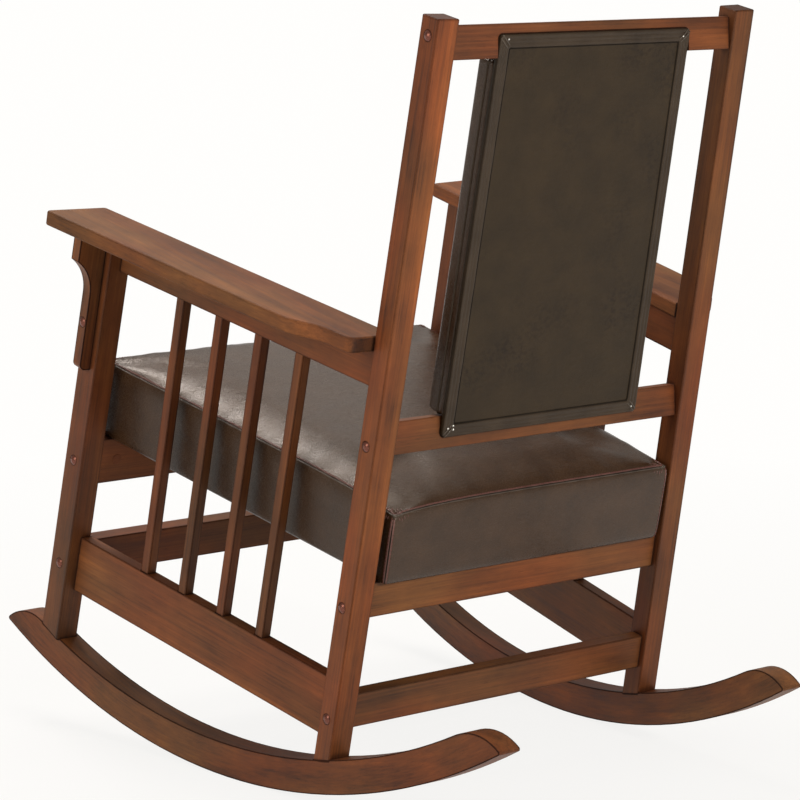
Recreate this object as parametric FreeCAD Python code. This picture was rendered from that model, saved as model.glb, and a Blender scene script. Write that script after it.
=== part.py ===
import FreeCAD, Part
import math
import os

V = FreeCAD.Vector

# Frame axes used below: x to the sitter's left, y to the rear, z up along the rear posts.
# The finished chair is leaned back by the rake and set down on its rockers at the end.

# Stance, degrees and millimetres
rake = 11.4
lean_in = 1.33
leg_lean = 2.1
rear_half = 275.0
front_spread = 48.8
frame_depth = 573.7

# Rear posts and front legs
post_w = 32.0
post_d = 30.0
post_top = 991.5
leg_w = 32.0
leg_d = 39.0
leg_datum = 88.6
wood_ease = 2.0
thin_ease = 1.5

# Rockers, symmetric about the point they rest on
rocker_radius = 924.0
rocker_deep = 43.0
rocker_centre_y = -346.5
rocker_low = 44.0
rocker_half_angle = 30.6
rocker_nose = 60.0
rocker_toe_round = 3.0
seat_in = 1.5

# Side rails, slats and arms
rail_inset = 12.5
rail_t = 18.0
low_rail_z = 88.6
low_rail_h = 76.8
arm_rail_h = 46.0
tenon_t = 8.0
tenon_len = 10.0
tenon_shoulder = 11.0
slat_t = 14.0
slat_w = 15.0
slat_first = -407.0
slat_pitch = 76.6
slat_count = 4
slat_house = 8.0
slat_lean = 0.5
arm_under = 585.0
arm_t = 19.5
arm_overhang = 16.3
arm_inner = -35.0
arm_outer = 56.5
arm_waist = 34.0
taper_start = -138.0
taper_end = -64.0
arm_round = 12.0
arm_corner = 5.0
arm_skew = 7.0
arm_ease = 3.0

# Corbels under the arms
corbel_t = 17.0
corbel_h = 184.0
corbel_out = 16.0
corbel_foot_round = 8.0
corbel_curve_down = 80.0
corbel_block_h = 34.0
corbel_block_out = 40.5

# Rails across the chair
back_rail_t = 16.5
back_rail_h = 40.0
back_rail_turn = 12.5
top_rail_y = -15.0
top_rail_z = 959.5
bottom_rail_y = -17.4
bottom_rail_z = 478.0
rear_seat_rail_y = -18.0
rear_seat_rail_t = 18.0
rear_seat_rail_foot = 248.5
front_seat_rail_t = 26.0
front_seat_rail_foot = 239.0
rear_stretcher_t = 18.0
front_stretcher_t = 24.0
rear_stretcher_y = -16.0
rear_stretcher_z = 104.0
rear_stretcher_h = 45.5
front_stretcher_z = 107.0
front_stretcher_h = 49.0

# Bolted joints of the cross rails
fit = 0.2
bolt_d = 6.0
bolt_head_d = 11.0
bolt_head_l = 5.0
bore_d = 12.0
bore_deep = 10.0
bolt_reach = 36.0
nut_d = 10.0
nut_l = 10.0
nut_behind = 4.0
nut_in = 28.0
cap_d = 13.0
cap_dome = 2.6
cap_plug_l = 4.0
dowel_d = 8.0
dowel_in_post = 12.0
dowel_in_rail = 16.0
dowel_step = 14.0
# bolts above the middle of the back rails, and above the foot of the other rails
top_bolt_up = 9.5
bottom_bolt_up = -7.0
rear_seat_bolt_up = 15.5
rear_stretcher_bolt_up = 14.0
front_seat_bolt_up = 32.0
front_stretcher_bolt_up = 16.0

# Dowels and screws of the sides
leg_dowel_d = 10.0
leg_dowel_l = 44.0
rocker_screw_d = 4.5
screw_head_d = 9.0
screw_head_l = 4.0
rocker_screw_l = 58.0
rocker_screw_step = 11.0
rocker_screw_sink = 8.0
arm_dowel_d = 8.0
arm_dowel_l = 30.0
arm_dowel_up = 12.0
arm_screw_d = 4.0
arm_screw_l = 42.0
arm_screw_up = 14.0
arm_screw_at = (-440.0, -125.0)
corbel_screw_down = 119.0
corbel_screw_l = 34.0

# Upholstered seat
seat_slope = 0.7
seat_z = 294.5
seat_rear = 4.0
seat_overhang = -1.3
seat_side_room = 14.5
seat_corner = 5.0
seat_skin = 1.6
soft_gap = 0.3
# height above the seat's underside and how far that level is drawn in
seat_levels = ((0.0, 0.8), (16.0, 0.0), (72.0, 0.0), (90.0, 0.6), (96.5, 2.2), (99.5, 4.5), (104.5, 9.0),
               (109.0, 16.0), (113.0, 28.0), (116.0, 50.0), (117.5, 85.0))
frame_inset = 5.0
frame_h = 44.0
frame_t = 26.0
dust_t = 1.0
strap_t = 2.0
strap_w = 50.0
straps_long = (-125.0, -42.0, 42.0, 125.0)
straps_cross = (-470.0, -350.0, -230.0, -110.0)
strap_hold = 15.0
block_leg = 46.0
block_low = 9.0
block_h = 28.0
seat_screw_d = 4.5
seat_screw_l = 42.0
seat_screw_up = 20.0
seat_screw_x = 150.0

# Upholstered back
plate_rear_y = -5.0
plate_skin = 1.5
plate_board_t = 4.0
plate_top_lap = 9.5
plate_foot_lap = -4.0
plate_half_foot = 158.5
plate_draw = 0.0142
plate_corner = 6.0
rebate_clear = 0.4
pad_gap = 1.0
core_t = 6.0
pad_skin = 1.6
pad_corner = 5.0
# depth in front of the rear plate and how far that level is drawn in
pad_levels = ((0.0, 0.5), (6.0, 0.0), (23.0, 0.0), (27.5, 2.0), (31.5, 8.5), (35.5, 28.0), (38.0, 62.0),
              (39.5, 105.0))
back_screw_d = 4.0
back_screw_l = 15.0
back_screw_x = (-110.0, 110.0)

# Derived places
toe = math.degrees(math.atan2(front_spread, frame_depth))
toe_sin = math.sin(math.radians(toe))
toe_cos = math.cos(math.radians(toe))
leg_rear = leg_d - frame_depth
rocker_inner = rocker_radius - rocker_deep
rocker_centre_z = rocker_radius - rocker_low
arm_rail_z = arm_under - arm_rail_h
slat_mid = rail_inset + rail_t / 2
arm_front = -frame_depth - arm_overhang
seat_front = -frame_depth - seat_overhang
seat_rear_half = rear_half - post_w - seat_side_room
plate_top = top_rail_z + plate_top_lap
plate_foot = bottom_rail_z + plate_foot_lap
turn = math.radians(back_rail_turn)
back_rail_reach = back_rail_h / 2 * math.cos(turn) + back_rail_t / 2 * math.sin(turn)
pad_top = top_rail_z - back_rail_reach - pad_gap
pad_foot = bottom_rail_z + back_rail_reach + pad_gap
far = 1500.0
parts = {}


def box(x0, x1, y0, y1, z0, z1):
    return Part.makeBox(x1 - x0, y1 - y0, z1 - z0, V(x0, y0, z0))


def eased(solid, ease, along):
    """Round the edges that run along the given axis: 0 for x, 1 for y, 2 for z."""
    chosen = []
    for edge in solid.Edges:
        run = edge.Vertexes[-1].Point - edge.Vertexes[0].Point
        if abs(abs(run[along]) - run.Length) < 1e-6:
            chosen.append(edge)
    return solid.makeFillet(ease, chosen)


def pin(radius, start, along, length):
    return Part.makeCylinder(radius, length, start, along)


def turned(shape, base, axis, angle):
    moved = shape.copy()
    moved.rotate(base, axis, angle)
    return moved


def from_rail(shape):
    """Toed-out rail axes to upright side axes."""
    return turned(shape, V(0, 0, 0), V(0, 0, 1), toe)


def from_leg(shape):
    """Front leg axes to upright side axes."""
    return turned(shape, V(0, leg_rear, leg_datum), V(1, 0, 0), -leg_lean)


def from_side(shape):
    """Upright side axes to frame axes, sitter's left."""
    moved = turned(shape, V(0, 0, 0), V(0, 1, 0), -lean_in)
    moved.translate(V(rear_half, 0, 0))
    return moved


def mirrored(shape):
    return shape.mirror(V(0, 0, 0), V(1, 0, 0))


def one(shape):
    """The largest solid of a trimmed shape."""
    return max(shape.Solids, key=lambda s: s.Volume)


def cut_all(solid, tools):
    for tool in tools:
        solid = solid.cut(tool)
    return one(solid)


def pair(name, left):
    parts["left_" + name] = [left]
    parts["right_" + name] = [mirrored(left)]


def both(shapes):
    return shapes + [mirrored(s) for s in shapes]


def leg_line(z):
    """Depth of the front leg's middle at a height."""
    return leg_rear - leg_d / 2 + math.tan(math.radians(leg_lean)) * (z - leg_datum)


def arc_point(radius, angle):
    a = math.radians(angle)
    return V(0, rocker_centre_y + radius * math.sin(a), rocker_centre_z - radius * math.cos(a))


def rocker_angle(y):
    return math.degrees(math.asin((y - rocker_centre_y) / rocker_inner))


def above_rocker(y):
    """Everything above a flat seat let into the top of a rocker at depth y."""
    angle = rocker_angle(y)
    seat = arc_point(rocker_inner + seat_in, angle)
    block = box(-far, far, -far, far, 0, far)
    block = turned(block, V(0, 0, 0), V(1, 0, 0), angle)
    block.translate(seat)
    return block


# Rockers: a flat curved board stood on edge along the toed-out side
front_angle = rake - rocker_half_angle
rear_angle = rake + rocker_half_angle
nose_angle = math.degrees(rocker_nose / rocker_inner)
lower = Part.Arc(arc_point(rocker_radius, front_angle), arc_point(rocker_radius, rake),
                 arc_point(rocker_radius, rear_angle)).toShape()
upper = Part.Arc(arc_point(rocker_inner, rear_angle - nose_angle), arc_point(rocker_inner, rake),
                 arc_point(rocker_inner, front_angle + nose_angle)).toShape()


def nose(angle, way):
    """One rounded end: an arc that leaves the top edge smoothly and meets the lower edge at the toe."""
    start = arc_point(rocker_inner, angle - way * nose_angle)
    toe = arc_point(rocker_radius, angle)
    a = math.radians(angle - way * nose_angle)
    ahead = V(0, math.cos(a), math.sin(a)) * way
    down = V(0, math.sin(a), -math.cos(a))
    step = toe - start
    tilt = math.atan2(step.dot(down), step.dot(ahead))
    radius = step.dot(step) / (2 * step.dot(down))
    middle = start + ahead * (radius * math.sin(tilt)) + down * (radius * (1 - math.cos(tilt)))
    return Part.Arc(start, middle, toe).toShape()


rocker_edges = [lower, nose(rear_angle, 1), upper, nose(front_angle, -1)]
rocker_face = Part.Face(Part.Wire(Part.__sortEdges__(rocker_edges)))
rocker_prism = rocker_face.extrude(V(4 * rear_half, 0, 0))


def end_edges(solid, radius, angle):
    """The edge across the rocker at one corner of its outline."""
    corner = arc_point(radius, angle)
    found = []
    for edge in solid.Edges:
        ends = [v.Point for v in edge.Vertexes]
        if all(math.hypot(p.y - corner.y, p.z - corner.z) < 0.01 for p in ends):
            found.append(edge)
    return found


for end_angle in (front_angle, rear_angle):
    toe_edges = end_edges(rocker_prism, rocker_radius, end_angle)
    rocker_prism = rocker_prism.makeFillet(rocker_toe_round, toe_edges)
rocker_slab = from_side(from_rail(box(-post_w, 0, -far, far, -far, far)))
rocker = one(rocker_prism.common(rocker_slab))

# Rear post and front leg, each with a flat foot let into the rocker
post = box(-post_w, 0, -post_d, 0, -far / 10, post_top)
post = post.makeFillet(wood_ease, [e for e in post.Edges if e.BoundBox.ZMax > 0])
post = one(from_side(post).common(above_rocker(-post_d / 2)))
leg = box(front_spread - leg_w, front_spread, leg_rear - leg_d, leg_rear, -far / 10, arm_under + arm_t)
leg = eased(leg, wood_ease, 2)
above_arm_line = box(-far, far, -far, far, arm_under, far)
leg = from_leg(leg).cut(above_arm_line)
leg = one(from_side(leg).common(above_rocker(leg_line(0))))
rocker = cut_all(rocker, [post, leg])

# Side rails with tenons in the leg and the post
behind_post_face = from_side(box(-far, far, -post_d, far, -far, far))
ahead_leg_face = from_side(from_leg(box(-far, far, -far, leg_rear, -far, far)))


def side_rail(z0, height):
    rail = box(-rail_inset - rail_t, -rail_inset, leg_rear - leg_d, 0, z0, z0 + height)
    rail = eased(rail, thin_ease, 1)
    rail = from_side(from_rail(rail))
    rail = cut_all(rail, [behind_post_face, ahead_leg_face])
    tongue = box(-slat_mid - tenon_t / 2, -slat_mid + tenon_t / 2, leg_rear - leg_d, 0,
                 z0 + tenon_shoulder, z0 + height - tenon_shoulder)
    tongue = from_side(from_rail(tongue))
    tongue = tongue.cut(from_side(box(-far, far, tenon_len - post_d, far, -far, far)))
    tongue = one(tongue.cut(from_side(from_leg(box(-far, far, -far, leg_rear - tenon_len, -far, far)))))
    return rail.fuse(tongue).removeSplitter()


low_rail = side_rail(low_rail_z, low_rail_h)
arm_rail = side_rail(arm_rail_z, arm_rail_h)
post = cut_all(post, [low_rail, arm_rail])
leg = cut_all(leg, [low_rail, arm_rail])

# Slats housed in the two rails
slats = []
for i in range(slat_count):
    y0 = slat_first + i * slat_pitch
    slat = box(-slat_mid - slat_t / 2, -slat_mid + slat_t / 2, y0, y0 + slat_w,
               low_rail_z + low_rail_h - slat_house, arm_rail_z + slat_house)
    slat_foot = V(0, y0 + slat_w / 2, low_rail_z + low_rail_h)
    slat = turned(eased(slat, thin_ease, 2), slat_foot, V(1, 0, 0), -slat_lean)
    slats.append(from_side(from_rail(slat)))
low_rail = cut_all(low_rail, slats)
arm_rail = cut_all(arm_rail, slats)


# Arm board: straight, then drawn in by a double curve to the post
def post_line(x):
    """Rail depth of the post's front face at a distance across the arm."""
    return (-post_d - x * toe_sin) / toe_cos


def line(start, end):
    return Part.makeLine(V(*start, arm_under), V(*end, arm_under))


def curve(start, through, end):
    return Part.Arc(V(*start, arm_under), V(*through, arm_under), V(*end, arm_under)).toShape()


half_dx = (arm_outer - arm_waist) / 2
half_dy = (taper_end - taper_start) / 2
sweep_r = (half_dx ** 2 + half_dy ** 2) / (2 * half_dx)
half_sweep = math.asin(half_dy / sweep_r) / 2
sag = sweep_r * (1 - math.cos(half_sweep))
rise = sweep_r * math.sin(half_sweep)
mid = (arm_outer - half_dx, taper_start + half_dy)
quarter = math.sqrt(0.5)
turn_in = arm_waist - arm_round
turn_y = post_line(turn_in)
arm_tip = arm_front - arm_skew
corner_in = arm_corner * (1 - quarter)
round_in = arm_round * (1 - quarter)
outline = [
    line((arm_inner, post_line(arm_inner)), (arm_inner, arm_front + arm_corner)),
    curve((arm_inner, arm_front + arm_corner), (arm_inner + corner_in, arm_front + corner_in),
          (arm_inner + arm_corner, arm_front)),
    line((arm_inner + arm_corner, arm_front), (arm_outer - arm_corner, arm_tip)),
    curve((arm_outer - arm_corner, arm_tip), (arm_outer - corner_in, arm_tip + corner_in),
          (arm_outer, arm_tip + arm_corner)),
    line((arm_outer, arm_tip + arm_corner), (arm_outer, taper_start)),
    curve((arm_outer, taper_start), (arm_outer - sag, taper_start + rise), mid),
    curve(mid, (arm_waist + sag, taper_end - rise), (arm_waist, taper_end)),
    line((arm_waist, taper_end), (arm_waist, turn_y - arm_round)),
    curve((arm_waist, turn_y - arm_round), (arm_waist - round_in, turn_y - round_in), (turn_in, turn_y)),
    line((turn_in, turn_y), (arm_inner, post_line(arm_inner))),
]
arm = Part.Face(Part.Wire(outline)).extrude(V(0, 0, arm_t))
long_edges = []
for edge in arm.Edges:
    flat = edge.BoundBox.ZLength < 1e-6
    at_post = all(abs(v.Point.y - post_line(v.Point.x)) < 0.01 for v in edge.Vertexes)
    if flat and not at_post:
        long_edges.append(edge)
arm = arm.makeFillet(arm_ease, long_edges)
arm = from_side(from_rail(arm))

# Corbel on the leg's outer face
corbel_foot = arm_under - corbel_h
corbel_curve_z = arm_under - corbel_curve_down
corbel_block_z = arm_under - corbel_block_h
curve_dx = corbel_block_out - corbel_out
curve_dz = corbel_block_z - corbel_curve_z
curve_r = (curve_dx ** 2 + curve_dz ** 2) / (2 * curve_dx)
curve_half = math.asin(curve_dz / curve_r) / 2
foot_in = corbel_foot_round * (1 - quarter)
corbel_mid = leg_rear - leg_d / 2


def corbel_point(x, z):
    return V(front_spread + x, corbel_mid - corbel_t / 2, z)


corbel_edges = [
    Part.makeLine(corbel_point(0, corbel_foot), corbel_point(corbel_out - corbel_foot_round, corbel_foot)),
    Part.Arc(corbel_point(corbel_out - corbel_foot_round, corbel_foot),
             corbel_point(corbel_out - foot_in, corbel_foot + foot_in),
             corbel_point(corbel_out, corbel_foot + corbel_foot_round)).toShape(),
    Part.makeLine(corbel_point(corbel_out, corbel_foot + corbel_foot_round),
                  corbel_point(corbel_out, corbel_curve_z)),
    Part.Arc(corbel_point(corbel_out, corbel_curve_z),
             corbel_point(corbel_out + curve_r * (1 - math.cos(curve_half)),
                          corbel_curve_z + curve_r * math.sin(curve_half)),
             corbel_point(corbel_block_out, corbel_block_z)).toShape(),
    Part.makeLine(corbel_point(corbel_block_out, corbel_block_z),
                  corbel_point(corbel_block_out, arm_under + arm_t)),
    Part.makeLine(corbel_point(corbel_block_out, arm_under + arm_t), corbel_point(0, arm_under + arm_t)),
    Part.makeLine(corbel_point(0, arm_under + arm_t), corbel_point(0, corbel_foot)),
]
corbel = Part.Face(Part.Wire(corbel_edges)).extrude(V(0, corbel_t, 0))
corbel = one(from_leg(corbel).cut(above_arm_line))
corbel = from_side(corbel)


# Seat block: levels drawn in from the plan, upright on the seat boards
def seat_half(inset, y):
    return seat_rear_half - inset + (front_spread / frame_depth) * (-y - post_d)


def seat_loop(inset):
    rear_y = seat_rear - inset
    front_y = seat_front + inset
    rear_x = seat_half(inset, rear_y)
    front_x = seat_half(inset, front_y)
    return [(rear_x, rear_y), (front_x, front_y), (-front_x, front_y), (-rear_x, rear_y)]


def seat_plan(inset, height):
    return round_loop(seat_loop(inset), seat_corner, lambda p: V(p[0], p[1], height))


def round_loop(loop, radius, point):
    """Closed wire through the corners of a loop, each rounded by one arc."""
    edges = []
    ends = []
    count = len(loop)
    for i, here in enumerate(loop):
        before = loop[i - 1]
        after = loop[(i + 1) % count]
        a = math.atan2(before[1] - here[1], before[0] - here[0])
        b = math.atan2(after[1] - here[1], after[0] - here[0])
        wedge = abs((b - a + math.pi) % (2 * math.pi) - math.pi) / 2
        back = radius / math.tan(wedge)
        start = (here[0] + back * math.cos(a), here[1] + back * math.sin(a))
        end = (here[0] + back * math.cos(b), here[1] + back * math.sin(b))
        mx = math.cos(a) + math.cos(b)
        my = math.sin(a) + math.sin(b)
        reach = (radius / math.sin(wedge) - radius) / math.hypot(mx, my)
        top = (here[0] + mx * reach, here[1] + my * reach)
        ends.append((start, top, end))
    for i, (start, top, end) in enumerate(ends):
        edges.append(Part.Arc(point(start), point(top), point(end)).toShape())
        edges.append(Part.makeLine(point(end), point(ends[(i + 1) % count][0])))
    return Part.Wire(edges)


def seat_block(skin, base):
    wires = [seat_plan(seat_levels[0][1] + skin, base)]
    for height, inset in seat_levels[1:]:
        if height - skin > base + 1.0:
            wires.append(seat_plan(inset + skin, height - skin))
    return Part.makeLoft(wires, True, True)


def from_seat(shape):
    """Seat axes, tipped to the rear, to frame axes."""
    moved = turned(shape, V(0, 0, 0), V(1, 0, 0), -seat_slope)
    moved.translate(V(0, 0, seat_z))
    return moved


seat_cover = seat_block(0.0, 0.0).cut(seat_block(seat_skin, 0.0))
strap_low = dust_t + frame_h
strap_high = strap_low + strap_t
foam_foot = strap_high + strap_t + soft_gap
seat_foam = seat_block(seat_skin + soft_gap, foam_foot)


def ring_face(inset, height, thick):
    return Part.Face(seat_plan(inset, height)).extrude(V(0, 0, thick))


seat_ring = ring_face(frame_inset, dust_t, frame_h + strap_t)
hole_loop = [V(x, y, dust_t) for x, y in seat_loop(frame_inset + frame_t)]
ring_hole = Part.Face(Part.makePolygon(hole_loop + hole_loop[:1])).extrude(V(0, 0, frame_h + strap_t))
front_zone = box(-far, far, -far, seat_front + frame_inset + frame_t, -far, far)
rear_zone = box(-far, far, seat_rear - frame_inset - frame_t, far, -far, far)
low_zone = box(-far, far, -far, far, -far, strap_low)
ring = seat_ring.cut(ring_hole)
frame_front = one(seat_ring.common(front_zone).common(low_zone))
frame_rear = one(seat_ring.common(rear_zone).common(low_zone))
sides = ring.cut(front_zone).cut(rear_zone)
frame_left = [s for s in sides.Solids if s.CenterOfMass.x > 0][0]
frame_right = [s for s in sides.Solids if s.CenterOfMass.x < 0][0]
straps = []
for x in straps_long:
    straps.append(box(x - strap_w / 2, x + strap_w / 2, seat_front + frame_inset + frame_t - strap_hold,
                      seat_rear - frame_inset - frame_t + strap_hold, strap_low, strap_high))
strap_zone = ring_face(frame_inset + frame_t - strap_hold, strap_high, strap_t)
for y in straps_cross:
    lane = box(-far, far, y - strap_w / 2, y + strap_w / 2, strap_high, strap_high + strap_t)
    straps.append(one(strap_zone.common(lane)))
dust = ring_face(frame_inset + soft_gap, 0.0, dust_t)
blocks = []
hole_in = frame_inset + frame_t
for face_y, side_y in ((seat_front + hole_in, block_leg), (seat_rear - hole_in, -block_leg)):
    inner = seat_half(hole_in, face_y)
    tip = seat_half(hole_in, face_y + side_y)
    tri = [V(inner, face_y, block_low), V(inner - block_leg, face_y, block_low),
           V(tip, face_y + side_y, block_low)]
    wedge = Part.Face(Part.makePolygon(tri + [tri[0]])).extrude(V(0, 0, block_h))
    blocks += [wedge, mirrored(wedge)]

# Rails across the chair, trimmed to the inner faces of the posts and legs
beyond_posts = from_side(box(-post_w, far, -far, far, -far, far))
beyond_legs = from_side(box(front_spread - leg_w, far, -far, far, -far, far))
seat_space = from_seat(box(-far, far, -far, far, 0, far))


def cross_rail(thick, height, y_mid, z_foot, beyond, tip=0.0):
    rail = box(-rear_half - front_spread, rear_half + front_spread, y_mid - thick / 2, y_mid + thick / 2,
               z_foot, z_foot + height)
    rail = eased(rail, thin_ease, 0)
    rail = turned(rail, V(0, y_mid, z_foot + height / 2), V(1, 0, 0), tip)
    return cut_all(rail, [beyond, mirrored(beyond)])


back_top = cross_rail(back_rail_t, back_rail_h, top_rail_y, top_rail_z - back_rail_h / 2, beyond_posts,
                      back_rail_turn)
back_bottom = cross_rail(back_rail_t, back_rail_h, bottom_rail_y, bottom_rail_z - back_rail_h / 2,
                         beyond_posts, back_rail_turn)
seat_rail_room = seat_z + 3 * front_seat_rail_t
rear_seat_rail = cross_rail(rear_seat_rail_t, seat_rail_room - rear_seat_rail_foot, rear_seat_rail_y,
                            rear_seat_rail_foot, beyond_posts)
rear_seat_rail = one(rear_seat_rail.cut(seat_space))
front_seat_bolt_z = front_seat_rail_foot + front_seat_bolt_up
front_seat_rail_y = leg_line(front_seat_bolt_z)
front_seat_rail = cross_rail(front_seat_rail_t, seat_rail_room - front_seat_rail_foot, front_seat_rail_y,
                             front_seat_rail_foot, beyond_legs)
front_seat_rail = one(front_seat_rail.cut(seat_space))
rear_stretcher = cross_rail(rear_stretcher_t, rear_stretcher_h, rear_stretcher_y, rear_stretcher_z,
                            beyond_posts)
front_stretcher_mid = front_stretcher_z + front_stretcher_h / 2
front_stretcher_y = leg_line(front_stretcher_mid)
front_stretcher = cross_rail(front_stretcher_t, front_stretcher_h, front_stretcher_y, front_stretcher_z,
                             beyond_legs)


# Upholstered back: rear plate over the rails, padded body between them
def back_plan(inset, z0, z1, y, radius):
    def half(z):
        return plate_half_foot - inset - plate_draw * (z - plate_foot)

    low = z0 + inset
    high = z1 - inset
    loop = [(half(low), low), (half(high), high), (-half(high), high), (-half(low), low)]
    return round_loop(loop, radius, lambda p: V(p[0], y, p[1]))


def back_slab(inset, z0, z1, y_rear, thick, radius):
    return Part.Face(back_plan(inset, z0, z1, y_rear, radius)).extrude(V(0, -thick, 0))


plate_thick = plate_board_t + plate_skin + soft_gap
plate_front_y = plate_rear_y - plate_thick
plate_solid = back_slab(0.0, plate_foot, plate_top, plate_rear_y, plate_thick, plate_corner)
plate_hollow = back_slab(plate_skin, plate_foot, plate_top, plate_rear_y - plate_skin, plate_thick,
                         plate_corner)
plate_cover = plate_solid.cut(plate_hollow)
plate_board = back_slab(plate_skin + soft_gap, plate_foot, plate_top, plate_rear_y - plate_skin - soft_gap,
                        plate_board_t, plate_corner)
rebate = back_slab(-rebate_clear, plate_foot, plate_top, 0.0, -plate_front_y, plate_corner)
back_top = one(back_top.cut(rebate))
back_bottom = one(back_bottom.cut(rebate))
core = back_slab(pad_skin + soft_gap + pad_levels[0][1], pad_foot, pad_top, plate_front_y, core_t, pad_corner)


def pad_block(skin, base):
    wires = [back_plan(pad_levels[0][1] + skin, pad_foot, pad_top, plate_front_y - base, pad_corner)]
    for depth, inset in pad_levels[1:]:
        if depth - skin > base + 1.0:
            wires.append(back_plan(inset + skin, pad_foot, pad_top, plate_front_y - depth + skin, pad_corner))
    return Part.makeLoft(wires, True, True)


pad_cover = pad_block(0.0, 0.0).cut(pad_block(pad_skin, 0.0))
pad_foam = pad_block(pad_skin + soft_gap, core_t + soft_gap)

# Bolted joints: bolt, barrel nut, dowel and domed cap at each rail end
bolts = []
nuts = []
caps = []
rail_dowels = []
inward = V(-1, 0, 0)


def joint(face_x, wall, y, z, step, rail, inside):
    """Hardware of one rail end on the left side; returns the drilled rail. The nut goes in from the inside."""
    reach = wall + bolt_reach
    bolt = pin(bolt_d / 2, V(face_x - bore_deep, y, z), inward, reach - bore_deep)
    head = pin(bolt_head_d / 2, V(face_x - bore_deep + bolt_head_l, y, z), inward, bolt_head_l)
    nut_x = face_x - wall - nut_in
    nut = pin(nut_d / 2, V(nut_x, y - inside * nut_behind, z), V(0, inside, 0), nut_l)
    nut = nut.cut(pin(bolt_d / 2 + fit, V(face_x, y, z), inward, far))
    dome_r = (cap_d ** 2 / 4 + cap_dome ** 2) / (2 * cap_dome)
    dome = Part.makeSphere(dome_r, V(face_x + cap_dome - dome_r, y, z))
    dome = dome.common(box(face_x, face_x + far, -far, far, -far, far))
    plug = pin(bore_d / 2 - fit, V(face_x, y, z), inward, cap_plug_l)
    dowel = pin(dowel_d / 2, V(face_x - wall + dowel_in_post - fit, y, z + step), inward,
                dowel_in_post + dowel_in_rail - 2 * fit)
    bolts.append(from_side(bolt.fuse(head).removeSplitter()))
    nuts.append(from_side(nut))
    caps.append(from_side(dome.fuse(plug).removeSplitter()))
    rail_dowels.append(from_side(dowel))
    hole = pin(bolt_d / 2 + fit, V(face_x + far / 10, y, z), inward, far / 10 + reach + fit)
    bore = pin(bore_d / 2, V(face_x + far / 10, y, z), inward, far / 10 + bore_deep)
    socket = pin(dowel_d / 2 + fit, V(face_x - wall + dowel_in_post, y, z + step), inward,
                 dowel_in_post + dowel_in_rail)
    cross = pin(nut_d / 2 + fit, V(nut_x, y - inside * (nut_behind + fit), z), V(0, inside, 0), far / 50)
    wall_tools = [from_side(t) for t in (hole, bore, socket)]
    rail_tools = [from_side(t) for t in (hole, cross, socket)]
    return wall_tools, cut_all(cut_all(rail, rail_tools), [mirrored(t) for t in rail_tools])


post_tools = []
tools, back_top = joint(0, post_w, top_rail_y, top_rail_z + top_bolt_up, -dowel_step, back_top, -1)
post_tools += tools
bottom_bolt_z = bottom_rail_z + bottom_bolt_up
tools, back_bottom = joint(0, post_w, bottom_rail_y, bottom_bolt_z, dowel_step, back_bottom, -1)
post_tools += tools
rear_seat_bolt_z = rear_seat_rail_foot + rear_seat_bolt_up
tools, rear_seat_rail = joint(0, post_w, rear_seat_rail_y, rear_seat_bolt_z, dowel_step, rear_seat_rail, -1)
post_tools += tools
rear_stretcher_bolt_z = rear_stretcher_z + rear_stretcher_bolt_up
tools, rear_stretcher = joint(0, post_w, rear_stretcher_y, rear_stretcher_bolt_z, dowel_step, rear_stretcher,
                              -1)
post_tools += tools
leg_tools = []
tools, front_seat_rail = joint(front_spread, leg_w, front_seat_rail_y, front_seat_bolt_z, dowel_step,
                               front_seat_rail, 1)
leg_tools += tools
front_stretcher_bolt_z = front_stretcher_z + front_stretcher_bolt_up
tools, front_stretcher = joint(front_spread, leg_w, front_stretcher_y, front_stretcher_bolt_z, dowel_step,
                               front_stretcher, 1)
leg_tools += tools

# Corbel screw under its own cap
corbel_screw_z = arm_under - corbel_screw_down
corbel_y = leg_line(corbel_screw_z)
corbel_face = front_spread + corbel_out
corbel_head_x = corbel_face - cap_plug_l - fit
corbel_head = pin(screw_head_d / 2, V(corbel_head_x, corbel_y, corbel_screw_z), inward, screw_head_l)
corbel_shank = pin(rocker_screw_d / 2, V(corbel_head_x, corbel_y, corbel_screw_z), inward,
                   screw_head_l + corbel_screw_l)
corbel_screw = from_side(corbel_head.fuse(corbel_shank).removeSplitter())
dome_r = (cap_d ** 2 / 4 + cap_dome ** 2) / (2 * cap_dome)
corbel_dome = Part.makeSphere(dome_r, V(corbel_face + cap_dome - dome_r, corbel_y, corbel_screw_z))
corbel_dome = corbel_dome.common(box(corbel_face, far, -far, far, -far, far))
corbel_plug = pin(bore_d / 2 - fit, V(corbel_face, corbel_y, corbel_screw_z), inward, cap_plug_l)
caps.append(from_side(corbel_dome.fuse(corbel_plug).removeSplitter()))
corbel_bore = pin(bore_d / 2, V(corbel_face + far / 10, corbel_y, corbel_screw_z), inward,
                  far / 10 + cap_plug_l + screw_head_l + 2 * fit)
corbel_hole = pin(rocker_screw_d / 2 + fit, V(corbel_face, corbel_y, corbel_screw_z), inward,
                  cap_plug_l + screw_head_l + corbel_screw_l + 2 * fit)
corbel = cut_all(corbel, [from_side(corbel_bore), from_side(corbel_hole)])
leg_tools.append(from_side(corbel_hole))

# Dowels and screws between legs and rockers
leg_dowels = []
rocker_screws = []


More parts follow.
